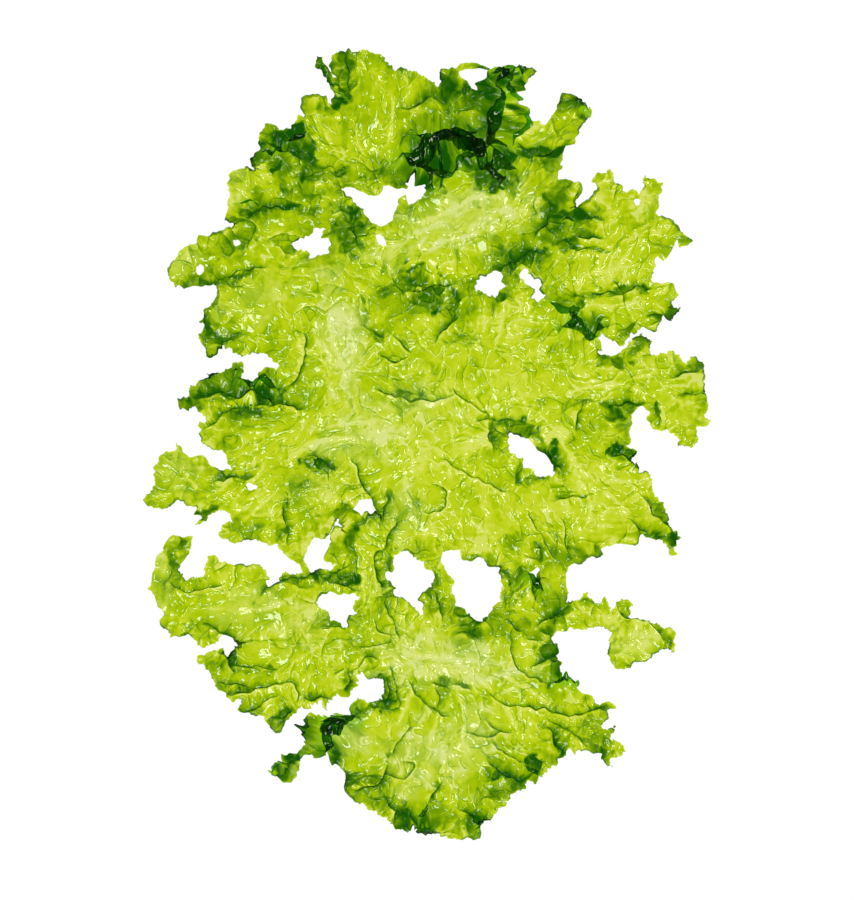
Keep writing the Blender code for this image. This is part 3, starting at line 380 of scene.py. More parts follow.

# Ribs, raised, with painted light along them: half width, height, and the line that they follow.
RIBS = [
    # right lobes
    (1.6, 0.7, [(44, 17), (56, 19.5), (64, 20), (71, 18), (77, 15)]),
    (1.3, 0.6, [(76, 16), (79, 11), (78.5, 5)]), (1.2, 0.5, [(75, 17), (82, 19.5), (88, 20)]),
    (1.2, 0.5, [(60, 20), (70, 22), (80, 26)]), (1.8, 0.8, [(38, 10), (44, 3), (50, -6), (57, -14)]),
    (1.4, 0.6, [(40, 3), (46, -4), (52, -12)]), (1.3, 0.6, [(57, -14), (64, -19), (71, -26)]),
    (1.2, 0.5, [(57, -15), (55, -22), (52, -30)]), (1.2, 0.5, [(57, -14), (63, -12), (69, -12)]),
    (1.2, 0.5, [(62, 55), (66, 62), (72, 70)]), (1.2, 0.5, [(54, 47), (62, 46), (72, 48)]),
    (1.1, 0.5, [(50, 56), (60, 58), (72, 60)]),
    # middle
    (1.4, 0.6, [(26, 49), (25, 40), (22, 29)]), (1.3, 0.5, [(20, 47), (19, 38), (14, 30)]),
    (1.5, 0.6, [(-31, 48), (-32, 38), (-28, 27), (-27, 18)]),
    (1.3, 0.5, [(-25, 46), (-25, 36), (-23, 28)]), (1.3, 0.5, [(-37, 45), (-37, 36), (-33, 28)]),
    (1.4, 0.5, [(-44, 40), (-42, 30), (-45, 20)]),
    (2.2, 0.9, [(-49, -9), (-43, -3), (-36, 1), (-26, 2), (-16, 0)]),
    (1.4, 0.5, [(-40, 2), (-33, 6), (-24, 7), (-12, 9)]), (1.3, 0.6, [(-10, 4), (-5, -3), (-4, -10)]),
    (1.3, 0.6, [(2, 1), (7, -6), (9, -13)]), (1.2, 0.5, [(4, 10), (8, 6), (9, 1)]),
    (1.5, 0.6, [(-48, -14), (-57, -22), (-66, -29)]), (1.2, 0.5, [(-53, -3), (-55, -9), (-60, -14)]),
    (1.4, 0.6, [(-84, -6), (-78, -12), (-74, -18)]), (1.3, 0.5, [(-61, -10), (-70, -16), (-78, -17)]),
    # crown
    (1.4, 0.5, [(-24, 112), (-23, 102), (-18, 92)]), (1.3, 0.5, [(-34, 108), (-31, 99), (-26, 92)]),
    (1.4, 0.6, [(-12, 120), (-11, 110), (-14, 98)]), (1.4, 0.6, [(31, 100), (38, 107), (46, 114)]),
    (1.5, 0.6, [(-8, 72), (4, 76), (16, 82), (28, 83)]), (1.4, 0.5, [(-4, 66), (8, 68), (22, 72)]),
    # lower lobes and base
    (1.4, 0.5, [(-40, -48), (-52, -54), (-66, -56)]), (1.4, 0.5, [(-28, -62), (-40, -70), (-54, -80)]),
    (1.6, 0.7, [(-22, -60), (-10, -68), (4, -71), (18, -72)]),
    (1.4, 0.6, [(-6, -35), (-5, -42), (-3, -50)]), (1.3, 0.5, [(-20, -34), (-21, -46), (-20, -58)]),
    (1.4, 0.6, [(0, -74), (-6, -86), (-12, -98)]), (1.4, 0.6, [(4, -75), (4, -88), (0, -104)]),
    (1.4, 0.6, [(8, -75), (12, -88), (12, -104)]), (1.4, 0.6, [(12, -74), (24, -84), (32, -98)]),
    (1.4, 0.6, [(16, -73), (32, -80), (46, -90)]), (1.3, 0.5, [(-4, -96), (-8, -108), (-12, -118)]),
    (1.3, 0.5, [(6, -96), (5, -108), (4, -120)]),
]


# ---------- noise ----------

WORD = 2 ** 32
MULTIPLIERS = (374761393, 668265263, 974634777, 1274126177)     # scatter whole numbers over a word's range


def hashed(ix, iy, seed):
    """A repeatable random number from 0 to 1 for each lattice corner."""
    n = (ix * MULTIPLIERS[0] + iy * MULTIPLIERS[1] + seed * MULTIPLIERS[2]) % WORD
    n = ((n ^ (n >> 13)) * MULTIPLIERS[3]) % WORD
    return (n ^ (n >> 16)) / WORD


def noise(x, y, seed):
    """Gradient noise with cells of size 1, from about -1 to 1. The seeds count on from the script's own."""
    ix = np.floor(x).astype(np.int64)
    iy = np.floor(y).astype(np.int64)
    fx = x - ix
    fy = y - iy
    u = fx * fx * fx * (fx * (fx * 6 - 15) + 10)
    v = fy * fy * fy * (fy * (fy * 6 - 15) + 10)

    def corner(dx, dy):
        turn = 2 * math.pi * hashed(ix + dx, iy + dy, SEED + seed)
        return np.cos(turn) * (fx - dx) + np.sin(turn) * (fy - dy)

    low = corner(0, 0) * (1 - u) + corner(1, 0) * u
    high = corner(0, 1) * (1 - u) + corner(1, 1) * u
    return 1.5 * (low * (1 - v) + high * v)


def facets(x, y, seed):
    """A random value from 0 to 1 for each of the straight-sided facets, about 1 wide, of crumpled film."""
    ix = np.floor(x).astype(np.int64)
    iy = np.floor(y).astype(np.int64)
    seed += SEED
    nearest = np.full_like(x, np.inf)
    value = np.zeros_like(x)
    for jx in (ix - 1, ix, ix + 1):
        for jy in (iy - 1, iy, iy + 1):
            gap = (x - jx - hashed(jx, jy, seed)) ** 2 + (y - jy - hashed(jx, jy, seed + 1)) ** 2
            value = np.where(gap < nearest, hashed(jx, jy, seed + 2), value)
            nearest = np.minimum(nearest, gap)
    return value


def smoothstep(t):
    t = np.clip(t, 0, 1)
    return t * t * (3 - 2 * t)


def turned(x, y, angle):
    """Coordinates turned anticlockwise by an angle."""
    c, s = np.cos(angle), np.sin(angle)
    return x * c - y * s, x * s + y * c


# ---------- the margins ----------

def solid_top(node):
    """The solid's top faces: its points in mm, each only once, and triangles."""
    mesh = node.data
    mesh.calc_loop_triangles()
    places = np.array([v.co for v in mesh.vertices]) / MM
    corners = np.array([t.vertices for t in mesh.loop_triangles])
    places, index = np.unique(places.round(3), axis=0, return_inverse=True)
    corners = index.reshape(-1)[corners]
    a, b, c = (places[corners[:, k]] for k in range(3))
    normals = np.cross(b - a, c - a)
    upward = normals[:, 2] > 0.1 * np.linalg.norm(normals, axis=1)
    return places, corners[upward]


def border_rings(points, triangles):
    """The borders of a sheet of triangles in plan, each a closed list of points, the longest first."""
    sides = {tuple(t[[k, (k + 1) % 3]]) for t in triangles for k in range(3)}
    follows = {a: b for a, b in sides if (b, a) not in sides}
    rings = []
    while follows:
        start = min(follows)
        at = follows.pop(start)
        ring = [start]
        while at != start:
            ring.append(at)
            at = follows.pop(at)
        rings.append(points[ring, :2])
    return sorted(rings, key=len, reverse=True)


def evened(points, step, closed=False, roundness=1.0):
    """A line drawn through the points, with a point at every step or less."""
    points = np.asarray(points, float)
    if closed:
        run = np.concatenate([points[-1:], points, points[:2]])
    else:
        run = np.concatenate([2 * points[:1] - points[1:2], points, 2 * points[-1:] - points[-2:-1]])
    drawn = []
    for p0, p1, p2, p3 in zip(run, run[1:], run[2:], run[3:]):
        count = max(1, math.ceil(np.linalg.norm(p2 - p1) / step))
        t = (np.arange(count) / count)[:, None]
        start_pull = roundness * (p2 - p0) / 2 + (1 - roundness) * (p2 - p1)
        end_pull = roundness * (p3 - p1) / 2 + (1 - roundness) * (p2 - p1)
        drawn.append((2 * t**3 - 3 * t**2 + 1) * p1 + (t**3 - 2 * t**2 + t) * start_pull
                     + (3 * t**2 - 2 * t**3) * p2 + (t**3 - t**2) * end_pull)
    if not closed:
        drawn.append(points[-1:])
    return np.concatenate(drawn)


def left_of(line, closed=False):
    """The unit direction to the left of a line, at each of its points."""
    along = np.roll(line, -1, 0) - np.roll(line, 1, 0) if closed else np.gradient(line, axis=0)
    along /= np.linalg.norm(along, axis=1)[:, None] + 1e-9
    return np.stack([-along[:, 1], along[:, 0]], 1)


def freedom(x, y):
    """1 where the membrane is free to crinkle, near 0 in its narrow strips."""
    held = np.zeros_like(x)
    for cx, cy, reach in NARROW_STRIPS:
        held = np.maximum(held, np.exp(-((x - cx) ** 2 + (y - cy) ** 2) / reach ** 2))
    return 1 - 0.85 * held


def ragged(ring):
    """A margin with the small teeth and nicks of torn tissue."""
    line = evened(ring, FINE, closed=True, roundness=0.6)
    x, y = line.T
    strength = freedom(x, y) * (0.3 + 0.5 * smoothstep(0.5 + 1.2 * noise(x / 24, y / 24, 0)))
    teeth = creased(noise(x / 2.8, y / 2.8, 1), 0.03) + 0.6 * creased(noise(x / 1.3, y / 1.3, 2), 0.02)
    teeth = 2.0 * (teeth - teeth.mean())
    return line + (strength * teeth)[:, None] * left_of(line, closed=True)


# ---------- the flat blade ----------

def crossings(rings, y):
    """Where the line at this y crosses the rings, in order of x."""
    found = []
    for ring in rings:
        a, b = ring, np.roll(ring, -1, 0)
        hit = (a[:, 1] > y) != (b[:, 1] > y)
        a, b = a[hit], b[hit]
        found.append(a[:, 0] + (y - a[:, 1]) * (b[:, 0] - a[:, 0]) / (b[:, 1] - a[:, 1]))
    return np.sort(np.concatenate(found))


def along_and_across(points, line):
    """Each point's place along a line and across it, to the left, the left's direction, and the length."""
    side = left_of(line)
    steps = np.linalg.norm(np.diff(line, axis=0), axis=1)
    run = np.concatenate([[0], np.cumsum(steps)])
    near = ((points[:, None, :] - line[None]) ** 2).sum(2).argmin(1)
    offset = points - line[near]
    normal = side[near]
    across = (offset * normal).sum(1)
    along = run[near] + offset[:, 0] * normal[:, 1] - offset[:, 1] * normal[:, 0]
    return along, across, normal, run[-1]


def near_line(points, line, reach):
    """Indices of the points in the box around a line, grown by reach."""
    low, high = line.min(0) - reach, line.max(0) + reach
    return np.nonzero(((points > low) & (points < high)).all(1))[0]


def blade_points(rings):
    """Evenly spaced points inside the margins."""
    low, high = rings[0].min(0), rings[0].max(0)
    rows = []
    for j, y in enumerate(np.arange(low[1], high[1], SPACING * math.sqrt(3) / 2)):
        x = np.arange(low[0] + 0.5 * SPACING * (j % 2), high[0], SPACING)
        within = np.searchsorted(crossings(rings, y), x) % 2 == 1
        rows.append(np.stack([x, np.full_like(x, y)], 1)[within])
    return np.concatenate(rows)


def margin_tree(rings):
    line = np.concatenate(rings)
    tree = KDTree(len(line))
    for k, (x, y) in enumerate(line):
        tree.insert((x, y, 0), k)
    tree.balance()
    return tree


def nearest_margin(tree, points):
    """The nearest margin point's number, and its distance."""
    found = [tree.find((x, y, 0)) for x, y in points]
    return np.array([f[1] for f in found]), np.array([f[2] for f in found])


def outside(points, rings):
    """Which points lie outside closed lines, such as the margins."""
    odd = np.zeros(len(points), bool)
    for ring in rings:
        a, b = ring, np.roll(ring, -1, 0)
        slope = (b[:, 0] - a[:, 0]) / np.where(b[:, 1] == a[:, 1], 1, b[:, 1] - a[:, 1])
        for k in range(0, len(points), 2000):
            x, y = points[k:k + 2000, 0, None], points[k:k + 2000, 1, None]
            spans = (a[None, :, 1] > y) != (b[None, :, 1] > y)
            left = x < a[None, :, 0] + (y - a[None, :, 1]) * slope[None]
            odd[k:k + 2000] ^= (spans & left).sum(1) % 2 == 1
    return ~odd


def flat_blade(rings):
    """The blade spread flat: points, triangles, and each point's nearest margin point and its distance."""
    tree = margin_tree(rings)
    points = blade_points(rings)
    _, gap = nearest_margin(tree, points)
    points = points[gap > 0.5 * FINE]
    corners = np.concatenate(rings + [points])
    sides = []
    first = 0
    for ring in rings:
        count = len(ring)
        sides += [(first + k, first + (k + 1) % count) for k in range(count)]
        first += count
    result = delaunay_2d_cdt([Vector(p) for p in corners], sides, [], 0, 1e-5)
    places = np.array([tuple(v) for v in result[0]])
    triangles = np.array(result[2])
    nearest, gap = nearest_margin(tree, places)
    doubtful = np.nonzero((gap < ON_MARGIN)[triangles].all(1))[0]
    centres = places[triangles[doubtful]].mean(1)
    triangles = np.delete(triangles, doubtful[outside(centres, rings)], 0)
    used = np.unique(triangles)
    renumber = np.zeros(len(places), int)
    renumber[used] = np.arange(len(used))
    return places[used], renumber[triangles], nearest[used], gap[used]


# ---------- folds ----------

def fold(sheet, widths, dark, path, pull):
    """Draws the sheet together along a path: a crisp edge with a painted highlight beside it, and painted
    shade on one side that fades.
    """
    line = evened(path, 0.8)
    plan = sheet["plan"]
    widest = max(widths)
    chosen = near_line(plan, line, widest / OVERLAP)
    if len(chosen) == 0:
        return
    along, across, normal, length = along_and_across(plan[chosen], line)
    half = (widths[0] + (widths[1] - widths[0]) * np.clip(along / length, 0, 1)) / OVERLAP
    here = np.full_like(along, path[0][0] * 3.7 + path[0][1] * 1.3)
    wave = along / (widest + 2.5)
    half = half * np.clip(1 + 0.45 * noise(wave, here, 11), 0.5, 1.5)
    across = across + 0.3 * half * noise(wave, here + 9, 12)
    taper = min(1.5 * widest / OVERLAP, 0.4 * length)
    strength = smoothstep(along / taper) * smoothstep((length - along) / taper)
    q = np.clip(across / half, -1, 1)
    bell = np.cos(math.pi * q / 2) ** 2
    drawn = pull * strength * np.sin(math.pi * q) * bell
    plan[chosen] -= (half * drawn)[:, None] * normal
    step = FOLD_LIFT * np.minimum(1, half / 3)
    sheet["height"][chosen] += step * strength * bell * (1 - np.sin(math.pi * q))

    def grow_to(name, amount):
        sheet[name][chosen] = np.maximum(sheet[name][chosen], amount)

    # In colour only: painted shade on the side under the fold (depth), a painted highlight beside its edge
    # (lip), and painted shade along the edge itself (edge).
    seen = across / half - drawn
    side = np.where(q > 0, np.clip(1 - seen / 1.2, 0, 1) ** 3, smoothstep(1 + q / 0.12))
    pleat = 0.8 + 0.6 * noise(along / 1.3 + 0.2 * across, across / 6 + here, 13)
    grow_to("depth", dark * strength * side * pleat)
    grow_to("lip", strength * dark * smoothstep(1 - np.abs(seen + 0.3) / 0.25))
    if pull == OVER:
        grow_to("layered", strength * smoothstep(5.2 - 10 * np.abs(q)))
    else:
        away = seen * half
        broken = smoothstep(0.55 + 1.1 * noise(along / 5, here, 14))
        closer = (strength > 0.05) & (np.abs(away) < np.abs(sheet["away"][chosen]))
        sheet["away"][chosen[closer]] = away[closer]
        sheet["edge"][chosen[closer]] = (dark * strength * broken * smoothstep(2.5 - np.abs(away)))[closer]


def gathers(x, y, folds):
    """Fine pleats that run away from the folds on both sides: the painted shade that fades away from the
    folds, streaked by the pleats, and the pleats' height.
    """
    points = np.stack([x, y], 1)
    shade = np.zeros_like(x)
    lift = np.zeros_like(x)
    sway = 2.5 * noise(x / 5, y / 5, 37)
    for number, (widths, dark, path) in enumerate(folds):
        line = evened(path, 0.8)
        spread = 1.6 + 0.8 * sum(widths) / 2
        chosen = near_line(points, line, 3.5 * spread)
        if len(chosen) == 0:
            continue
        along, across, _, length = along_and_across(points[chosen], line)
        strength = smoothstep(along / 3 + 0.3) * smoothstep((length - along) / 3 + 0.3)
        weak_side = np.where((across > 0) == (number % 2 == 0), 1.0, 0.5)
        bent = along + sway[chosen] + 0.25 * across
        pleat = noise(bent / 1.6, across / 7 + 10 * number, 35)
        fall = strength * np.exp(-np.abs(across) / (spread * weak_side))
        shade[chosen] = np.maximum(shade[chosen], dark * fall * (0.75 + 0.8 * pleat))
        lift[chosen] += 0.5 * fall * pleat
    return shade, lift


def patches(x, y, listed, spread=1.5, streaks=0.0):
    """Soft-edged, uneven patches, about as strong as listed, that may be streaked and faceted."""
    total = np.zeros_like(x)
    wobble_x = 3.0 * noise(x / 9, y / 9, 31)
    wobble_y = 3.0 * noise(x / 9, y / 9, 32)
    uneven = 0.4 * noise(x / 5, y / 5, 33) + 0.2 * noise(x / 2.1, y / 2.1, 34)
    for cx, cy, rx, ry, strength, *turn in listed:
        loose = min(1, min(rx, ry) / 4)
        u, v = turned(x + loose * wobble_x - cx, y + loose * wobble_y - cy, -math.radians(sum(turn)))
        radius = np.hypot(u / rx, v / ry) * (1 + uneven)
        near = radius < 1.5 * spread
        radius, u, v = radius[near], u[near], v[near]
        clarity = 1.0
        if streaks:
            long_way, short_way = (u, v) if rx > ry else (v, u)
            strand = noise((short_way + 0.9 * wobble_x[near]) / 2.1, long_way / 9 + cy, 36)
            facet = facets((short_way + wobble_x[near]) / 3.0, (long_way + wobble_y[near]) / 6.5, 28)
            radius = radius * (1.25 - 0.5 * facet)
            clarity = (1 - streaks * smoothstep(np.abs(strand) / 0.5)) * (0.35 + 1.2 * facet)
        value = strength * clarity * smoothstep((spread - radius) / (2 * spread - 2))
        total[near] = np.maximum(total[near], value)
    return total


def flaps(x, y):
    """How dark the listed flaps are: crisp at their outlines, with streaks and facets inside."""
    wobble = [0.5 * noise(x / 3, y / 3, seed) for seed in (101, 102)]
    points = np.stack([x, y], 1) + np.stack(wobble, 1)
    uneven = 0.35 + 0.4 * facets(x / 3.5, y / 4.5, 103) - 0.2 * np.abs(noise(x / 1.6, y / 6, 104))
    total = np.zeros_like(x)
    for dark, outline in FLAPS:
        line = evened(outline, 0.3, closed=True, roundness=0.2)
        chosen = near_line(points, line, 1.0)
        gap = np.sqrt(((points[chosen][:, None, :] - line[None]) ** 2).sum(2).min(1))
        inward = np.where(outside(points[chosen], [line]), -gap, gap)
        total[chosen] = np.maximum(total[chosen], dark * smoothstep(0.5 + inward / 0.8))
    return total * uneven


# ---------- relief ----------

def creased(value, softness):
    """Turns each place where a smooth field crosses zero into a narrow crease."""
    return np.sqrt(value * value + softness * softness) - softness


def flow(x, y):
    """The unit direction in which wrinkles run: away from the places where the blade's ribs meet."""
    fx = np.zeros_like(x)
    fy = np.zeros_like(x)
    for cx, cy in RIB_CENTRES:
        dx, dy = x - cx, y - cy
        gap = np.hypot(dx, dy) + 1e-6
        pull = 1 / (gap * gap + 150)
        fx += pull * dx / gap
        fy += pull * dy / gap
    size = np.hypot(fx, fy) + 1e-9
    return turned(fx / size, fy / size, 0.9 * noise(x / 16, y / 16, 40))


def streaked(x, y, size, reach, seed):
    """Noise drawn out along the flow."""
    fx, fy = flow(x, y)
    turn = 0.5 + 0.37 * ((SEED + seed) % 5)
    total = 0
    for step in np.linspace(-reach, reach, 7):
        px, py = turned((x + step * fx) / size, (y + step * fy) / size, turn)
        total = total + noise(px, py, seed)
    return 0.32 * total


def wandering(x, y):
    """Places shifted a little, so that what is drawn over them winds about."""
    return (x + 2.5 * noise(x / 13, y / 13, 41) + 0.4 * noise(x / 5, y / 5, 38),
            y + 2.5 * noise(x / 13, y / 13, 42) + 0.4 * noise(x / 5, y / 5, 39))


def valley_field(x, y):
    """A smooth field whose zero lines are the bottoms of the sharpest valleys."""
    return streaked(*wandering(x, y), 7.5, 13.0, 43)


def relief(x, y):
    """Facets, blisters and winding creases of a membrane lying slack, calm in some places."""
    wx, wy = wandering(x, y)
    slack = np.clip(0.5 + 0.9 * noise(x / 17, y / 17, 46), 0.15, 1.2)
    valleys = creased(valley_field(x, y), 0.06)
    ridges = creased(streaked(wx, wy, 4.8, 10.0, 44), 0.07)
    loops = creased(noise(wx / 6.2, wy / 6.2, 50), 0.08)
    small = creased(noise(wx / 3.6, wy / 3.6, 45), 0.14)
    gate = smoothstep(0.35 + 1.5 * noise(x / 9, y / 9, 47))
    return slack * (1.3 * valleys - 1.1 * ridges + (1 - gate) * 0.3 * loops - 0.08 * gate * small)


def wrinkles(rings, rng):
    """Short winding wrinkles all over the blade: their lines, half widths and heights."""
    low, high = rings[0].min(0), rings[0].max(0)
    columns = np.arange(low[0], high[0], WRINKLE_CELL)
    rows = np.arange(low[1], high[1], WRINKLE_CELL)
    at = np.stack([axis.ravel() for axis in np.meshgrid(columns, rows)], 1)
    count = len(at)
    at += rng.uniform(0, WRINKLE_CELL, (count, 2))
    fx, fy = flow(*at.T)
    heading = np.arctan2(fy, fx) + rng.normal(0, 0.5, count)
    turn = rng.normal(0, 0.12, count)
    step = rng.uniform(0.5, 1.6, count)
    lines = [at]
    for number in range(7):
        at = at + step[:, None] * np.stack([np.cos(heading), np.sin(heading)], 1)
        heading = heading + turn * (0.5 + 0.5 * number)
        lines.append(at)
    x, y = lines[0].T
    lively = smoothstep(0.4 + 1.1 * noise(x / 15, y / 15, 99)) * (1 - 0.8 * patches(x, y, CALM_PLACES))
    return np.stack(lines, 1), rng.uniform(0.8, 1.5, count), rng.uniform(0.08, 0.30, count) * lively


def raised(x, y, ridges):
    """The height that rounded ridges add, each listed as its line, half width and height."""
    points = np.stack([x, y], 1)
    total = np.zeros_like(x)
    for path, half, height in ridges:
        line = evened(path, 0.5)
        chosen = near_line(points, line, half)
        if len(chosen) == 0:
            continue
        along, across, _, length = along_and_across(points[chosen], line)
        taper = 0.35 * length
        ends = smoothstep(along / taper) * smoothstep((length - along) / taper)
        total[chosen] += height * ends * np.cos(math.pi / 2 * np.clip(across / half, -1, 1)) ** 2
    return total


def wrinkle_lines(x, y, smooth):
    """Smooth fields whose zero lines are the finest wrinkles and sharpest valleys, and where those show."""
    wx = x + 2.2 * noise(x / 11, y / 11, 91) + 0.9 * noise(x / 4, y / 4, 92)
    wy = y + 2.2 * noise(x / 11, y / 11, 93) + 0.9 * noise(x / 4, y / 4, 94)
    fields = {"long_lines": streaked(wx, wy, 3.6, 6.0, 95), "short_lines": noise(wx / 3.2, wy / 3.2, 96),
              "valleys": valley_field(x, y)}
    values = {name: field / field.std() for name, field in fields.items()}
    values["long_lines"] += 1.6 * smooth
    values["short_lines"] += 1.6 * smooth
    values["lines_shown"] = noise(x / 3.6, y / 3.6, 97) + 0.6 * noise(x / 14, y / 14, 98)
    values["valleys_shown"] = noise(x / 7, y / 7, 48) + 0.4 * noise(x / 25, y / 25, 49) - 0.6 * smooth
    return values


def margin_frill(run, gap):
    """Ruffles across a margin, that double as they reach it."""
    wide = noise(run / 6.0, gap / 16, 51) * np.exp(-gap / 7)
    narrow = noise(run / 2.9, gap / 8, 52) * np.exp(-gap / 3)
    finest = noise(run / 1.5, gap / 4, 53) * np.exp(-gap / 1.3)
    return 1.8 * wide + 0.6 * narrow + 0.15 * finest


# ---------- pleats, creases and curled margins ----------

def bent_line(middle, angle, length, bend):
    """A line through three points, the middle one moved sideways by bend."""
    way = np.array([math.cos(angle), math.sin(angle)])
    side = np.array([-way[1], way[0]])
    return [middle - 0.5 * length * way, middle + bend * side, middle + 0.5 * length * way]


def small_folds(rings, rng):
    """Short pleats that run in from the margins."""
    found = []
    for ring in rings:
        inward = left_of(ring, closed=True)
        place = 0
        while place < len(ring):
            crumpled = 0.5 + 0.9 * noise(*(ring[place] / 26), 61)
            length = rng.uniform(3, 10)
            way = np.array(turned(*inward[place], rng.uniform(-0.5, 0.5)))
            width = rng.uniform(0.5, 1.3)
            start = ring[place] - 2.0 * way
            bend = rng.uniform(-0.15, 0.15) * length * np.array([-way[1], way[0]])
            if rng.random() < crumpled:
                middle = ring[place] + 0.5 * length * way + bend
                end = ring[place] + length * way
                found.append(((width * 1.3, width * 0.7), 0.25, [start, middle, end], STEEP))
            place += int(rng.uniform(3, 13) / FINE)
    return found


def crumple_folds(rng):
    """Pleats that fill the crumpled places, mostly along them."""
    found = []
    for cx, cy, rx, ry, strength, *turn in CRUMPLES:
        lie = math.radians(sum(turn))
        if ry > rx:
            rx, ry, lie = ry, rx, lie + math.pi / 2
        for _ in range(1 + int(strength * rx * ry / 4)):
            angle = lie + rng.normal(0, 0.45)
            u, v = rng.uniform(-0.8, 0.8, 2)
            middle = np.array([cx, cy]) + turned(u * rx, v * ry, lie)
            length = rng.uniform(0.9, 1.6) * rx + 2
            width = rng.uniform(0.2, 0.6) * min(ry, 3.5) + 0.4
            path = bent_line(middle, angle, length, rng.uniform(-0.2, 0.2) * length)
            over = strength > 0.6 and rng.random() < 0.6
            dark = (0.3 if over else 0.8) * strength
            found.append(((width, width * rng.uniform(0.5, 1.0)), dark, path, OVER if over else STEEP))
    return found


def inner_creases(rings, rng):
    """Short curved creases all over the blade, that mostly run outwards from its middle."""
    found = []
    low, high = rings[0].min(0), rings[0].max(0)
    for y in np.arange(low[1], high[1], CREASE_CELL):
        for x in np.arange(low[0], high[0], CREASE_CELL):
            middle = np.array([x + rng.uniform(0, CREASE_CELL), y + rng.uniform(0, CREASE_CELL)])
            lean = 1.3 * noise(*(middle / 19), 65) + rng.uniform(-0.5, 0.5)
            angle = math.atan2(0.75 * middle[1], middle[0]) + lean
            length = rng.uniform(5, 17)
            width = rng.uniform(0.35, 0.95)
            smooth = patches(*middle[:, None], CALM_PLACES)[0]
            pull = rng.uniform(0.12, 0.36) * (1 - 0.7 * smooth)
            path = bent_line(middle, angle, length, rng.uniform(-0.22, 0.22) * length)
            found.append(((width, width * 1.2), 1.6 * pull * pull, path, pull))
    return found


def curled(sheet, nearest, gap, rings):
    """Turns stretches of the margin back over the blade."""
    inward = []
    for ring in rings:
        side = left_of(ring, closed=True)
        for _ in range(6):
            side = (np.roll(side, 1, 0) + side + np.roll(side, -1, 0)) / 3
        inward.append(side / (np.linalg.norm(side, axis=1)[:, None] + 1e-9))
    inward = np.concatenate(inward)
    x, y = np.concatenate(rings).T
    reach = 7.0 * np.clip(noise(x / 11, y / 11, 71) - 0.05, 0, 0.6) * freedom(x, y)
    width = reach[nearest] + 1e-6
    u = gap / width
    turn = 0.22
    target = np.where(u < turn, 6.2 * (turn - u) ** 2, ((u - turn) / (1 - turn)) ** 2) * width
    moved = (u < 1) & (width > 0.6)
    sheet["plan"][moved] += (target - gap)[moved, None] * inward[nearest[moved]]
    sheet["height"][moved] += (0.8 * smoothstep(1 - u / 0.45))[moved]
    sheet["depth"][moved] = np.maximum(sheet["depth"][moved], 0.18 * smoothstep(1.5 - u[moved] / 0.4))


# ---------- the membrane ----------

def base_height(plan):
    """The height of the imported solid's middle at each point in plan."""
    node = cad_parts["thallus"]
    low, high = (np.array(corner) / MM for corner in CAD_BOX)
    tree = BVHTree.FromPolygons([v.co / MM for v in node.data.vertices],
                                [p.vertices for p in node.data.polygons])
    cell = 2.0
    above = high[2] + 40.0
    xs = np.arange(low[0] - cell, high[0] + 2 * cell, cell)
    ys = np.arange(low[1] - cell, high[1] + 2 * cell, cell)
    grid = np.full((len(ys), len(xs)), np.nan)
    for j, y in enumerate(ys):
        for i, x in enumerate(xs):
            place = tree.ray_cast(Vector((x, y, above)), Vector((0, 0, -1)))[0]
            if place is not None:
                grid[j, i] = place.z - HALF_SOLID
    while np.isnan(grid).any():
        padded = np.pad(grid, 1, constant_values=np.nan)
        around = np.stack([padded[j:j + len(ys), i:i + len(xs)] for j in range(3) for i in range(3)])
        known = ~np.isnan(around)
        total = np.where(known, around, 0).sum(0)
        grid = np.where(np.isnan(grid) & known.any(0), total / np.maximum(known.sum(0), 1), grid)
    u = np.clip((plan[:, 0] - xs[0]) / cell, 0, len(xs) - 1.001)
    v = np.clip((plan[:, 1] - ys[0]) / cell, 0, len(ys) - 1.001)
    i, j = u.astype(int), v.astype(int)
    fu, fv = smoothstep(u - i), smoothstep(v - j)
    return ((grid[j, i] * (1 - fu) + grid[j, i + 1] * fu) * (1 - fv)
            + (grid[j + 1, i] * (1 - fu) + grid[j + 1, i + 1] * fu) * fv)


def kept_in_outline(plan, rest, nearest, gap, rings):
    """Moves the margins back, as a whole, to where they were before folding, and the blade near them."""
    total = sum(len(ring) for ring in rings)
    on_margin = gap < ON_MARGIN
    counts = np.maximum(np.bincount(nearest[on_margin], minlength=total), 1)
    strays = np.stack([np.bincount(nearest[on_margin], away, total) / counts
                       for away in (plan - rest)[on_margin].T], 1)
    first = 0
    for ring in rings:
        size = min(int(OUTLINE_WINDOW / FINE), len(ring) // 2)
        part = strays[first:first + len(ring)]
        kernel = np.hanning(2 * size + 1)
        kernel /= kernel.sum()
        for axis in (0, 1):
            wrapped = np.concatenate([part[-size:, axis], part[:, axis], part[:size, axis]])
            part[:, axis] = np.convolve(wrapped, kernel, "valid")
        first += len(ring)
    plan -= strays[nearest] * np.exp(-(gap / OUTLINE_REACH) ** 2)[:, None]


def slopes(places, triangles):
    """How much further straight-down light travels in the membrane at each point, for its tilt."""
    a, b, c = (places[triangles[:, k]] for k in range(3))
    faces = np.cross(b - a, c - a)
    total = np.stack([np.bincount(triangles.ravel(), np.repeat(faces[:, k], 3), len(places))
                      for k in range(3)], 1)
    upright = np.abs(total[:, 2]) / (np.linalg.norm(total, axis=1) + 1e-9)
    return np.minimum(1 / np.maximum(upright, 0.2) - 1, 3)


def hollows(places, triangles):
    """How far each point lies below (positive) or above its surroundings, at three scales."""
    ends = np.concatenate([triangles[:, [0, 1]], triangles[:, [1, 2]], triangles[:, [2, 0]]])
    heads = np.concatenate([ends[:, 0], ends[:, 1]])
    tails = np.concatenate([ends[:, 1], ends[:, 0]])
    count = np.bincount(heads, minlength=len(places))
    height = places[:, 2]
    level = height.copy()
    total = np.zeros_like(height)
    for step in range(1, 41):
        level = np.bincount(heads, level[tails], len(places)) / count
        if step in (2, 12, 40):
            total += level - height
    return total


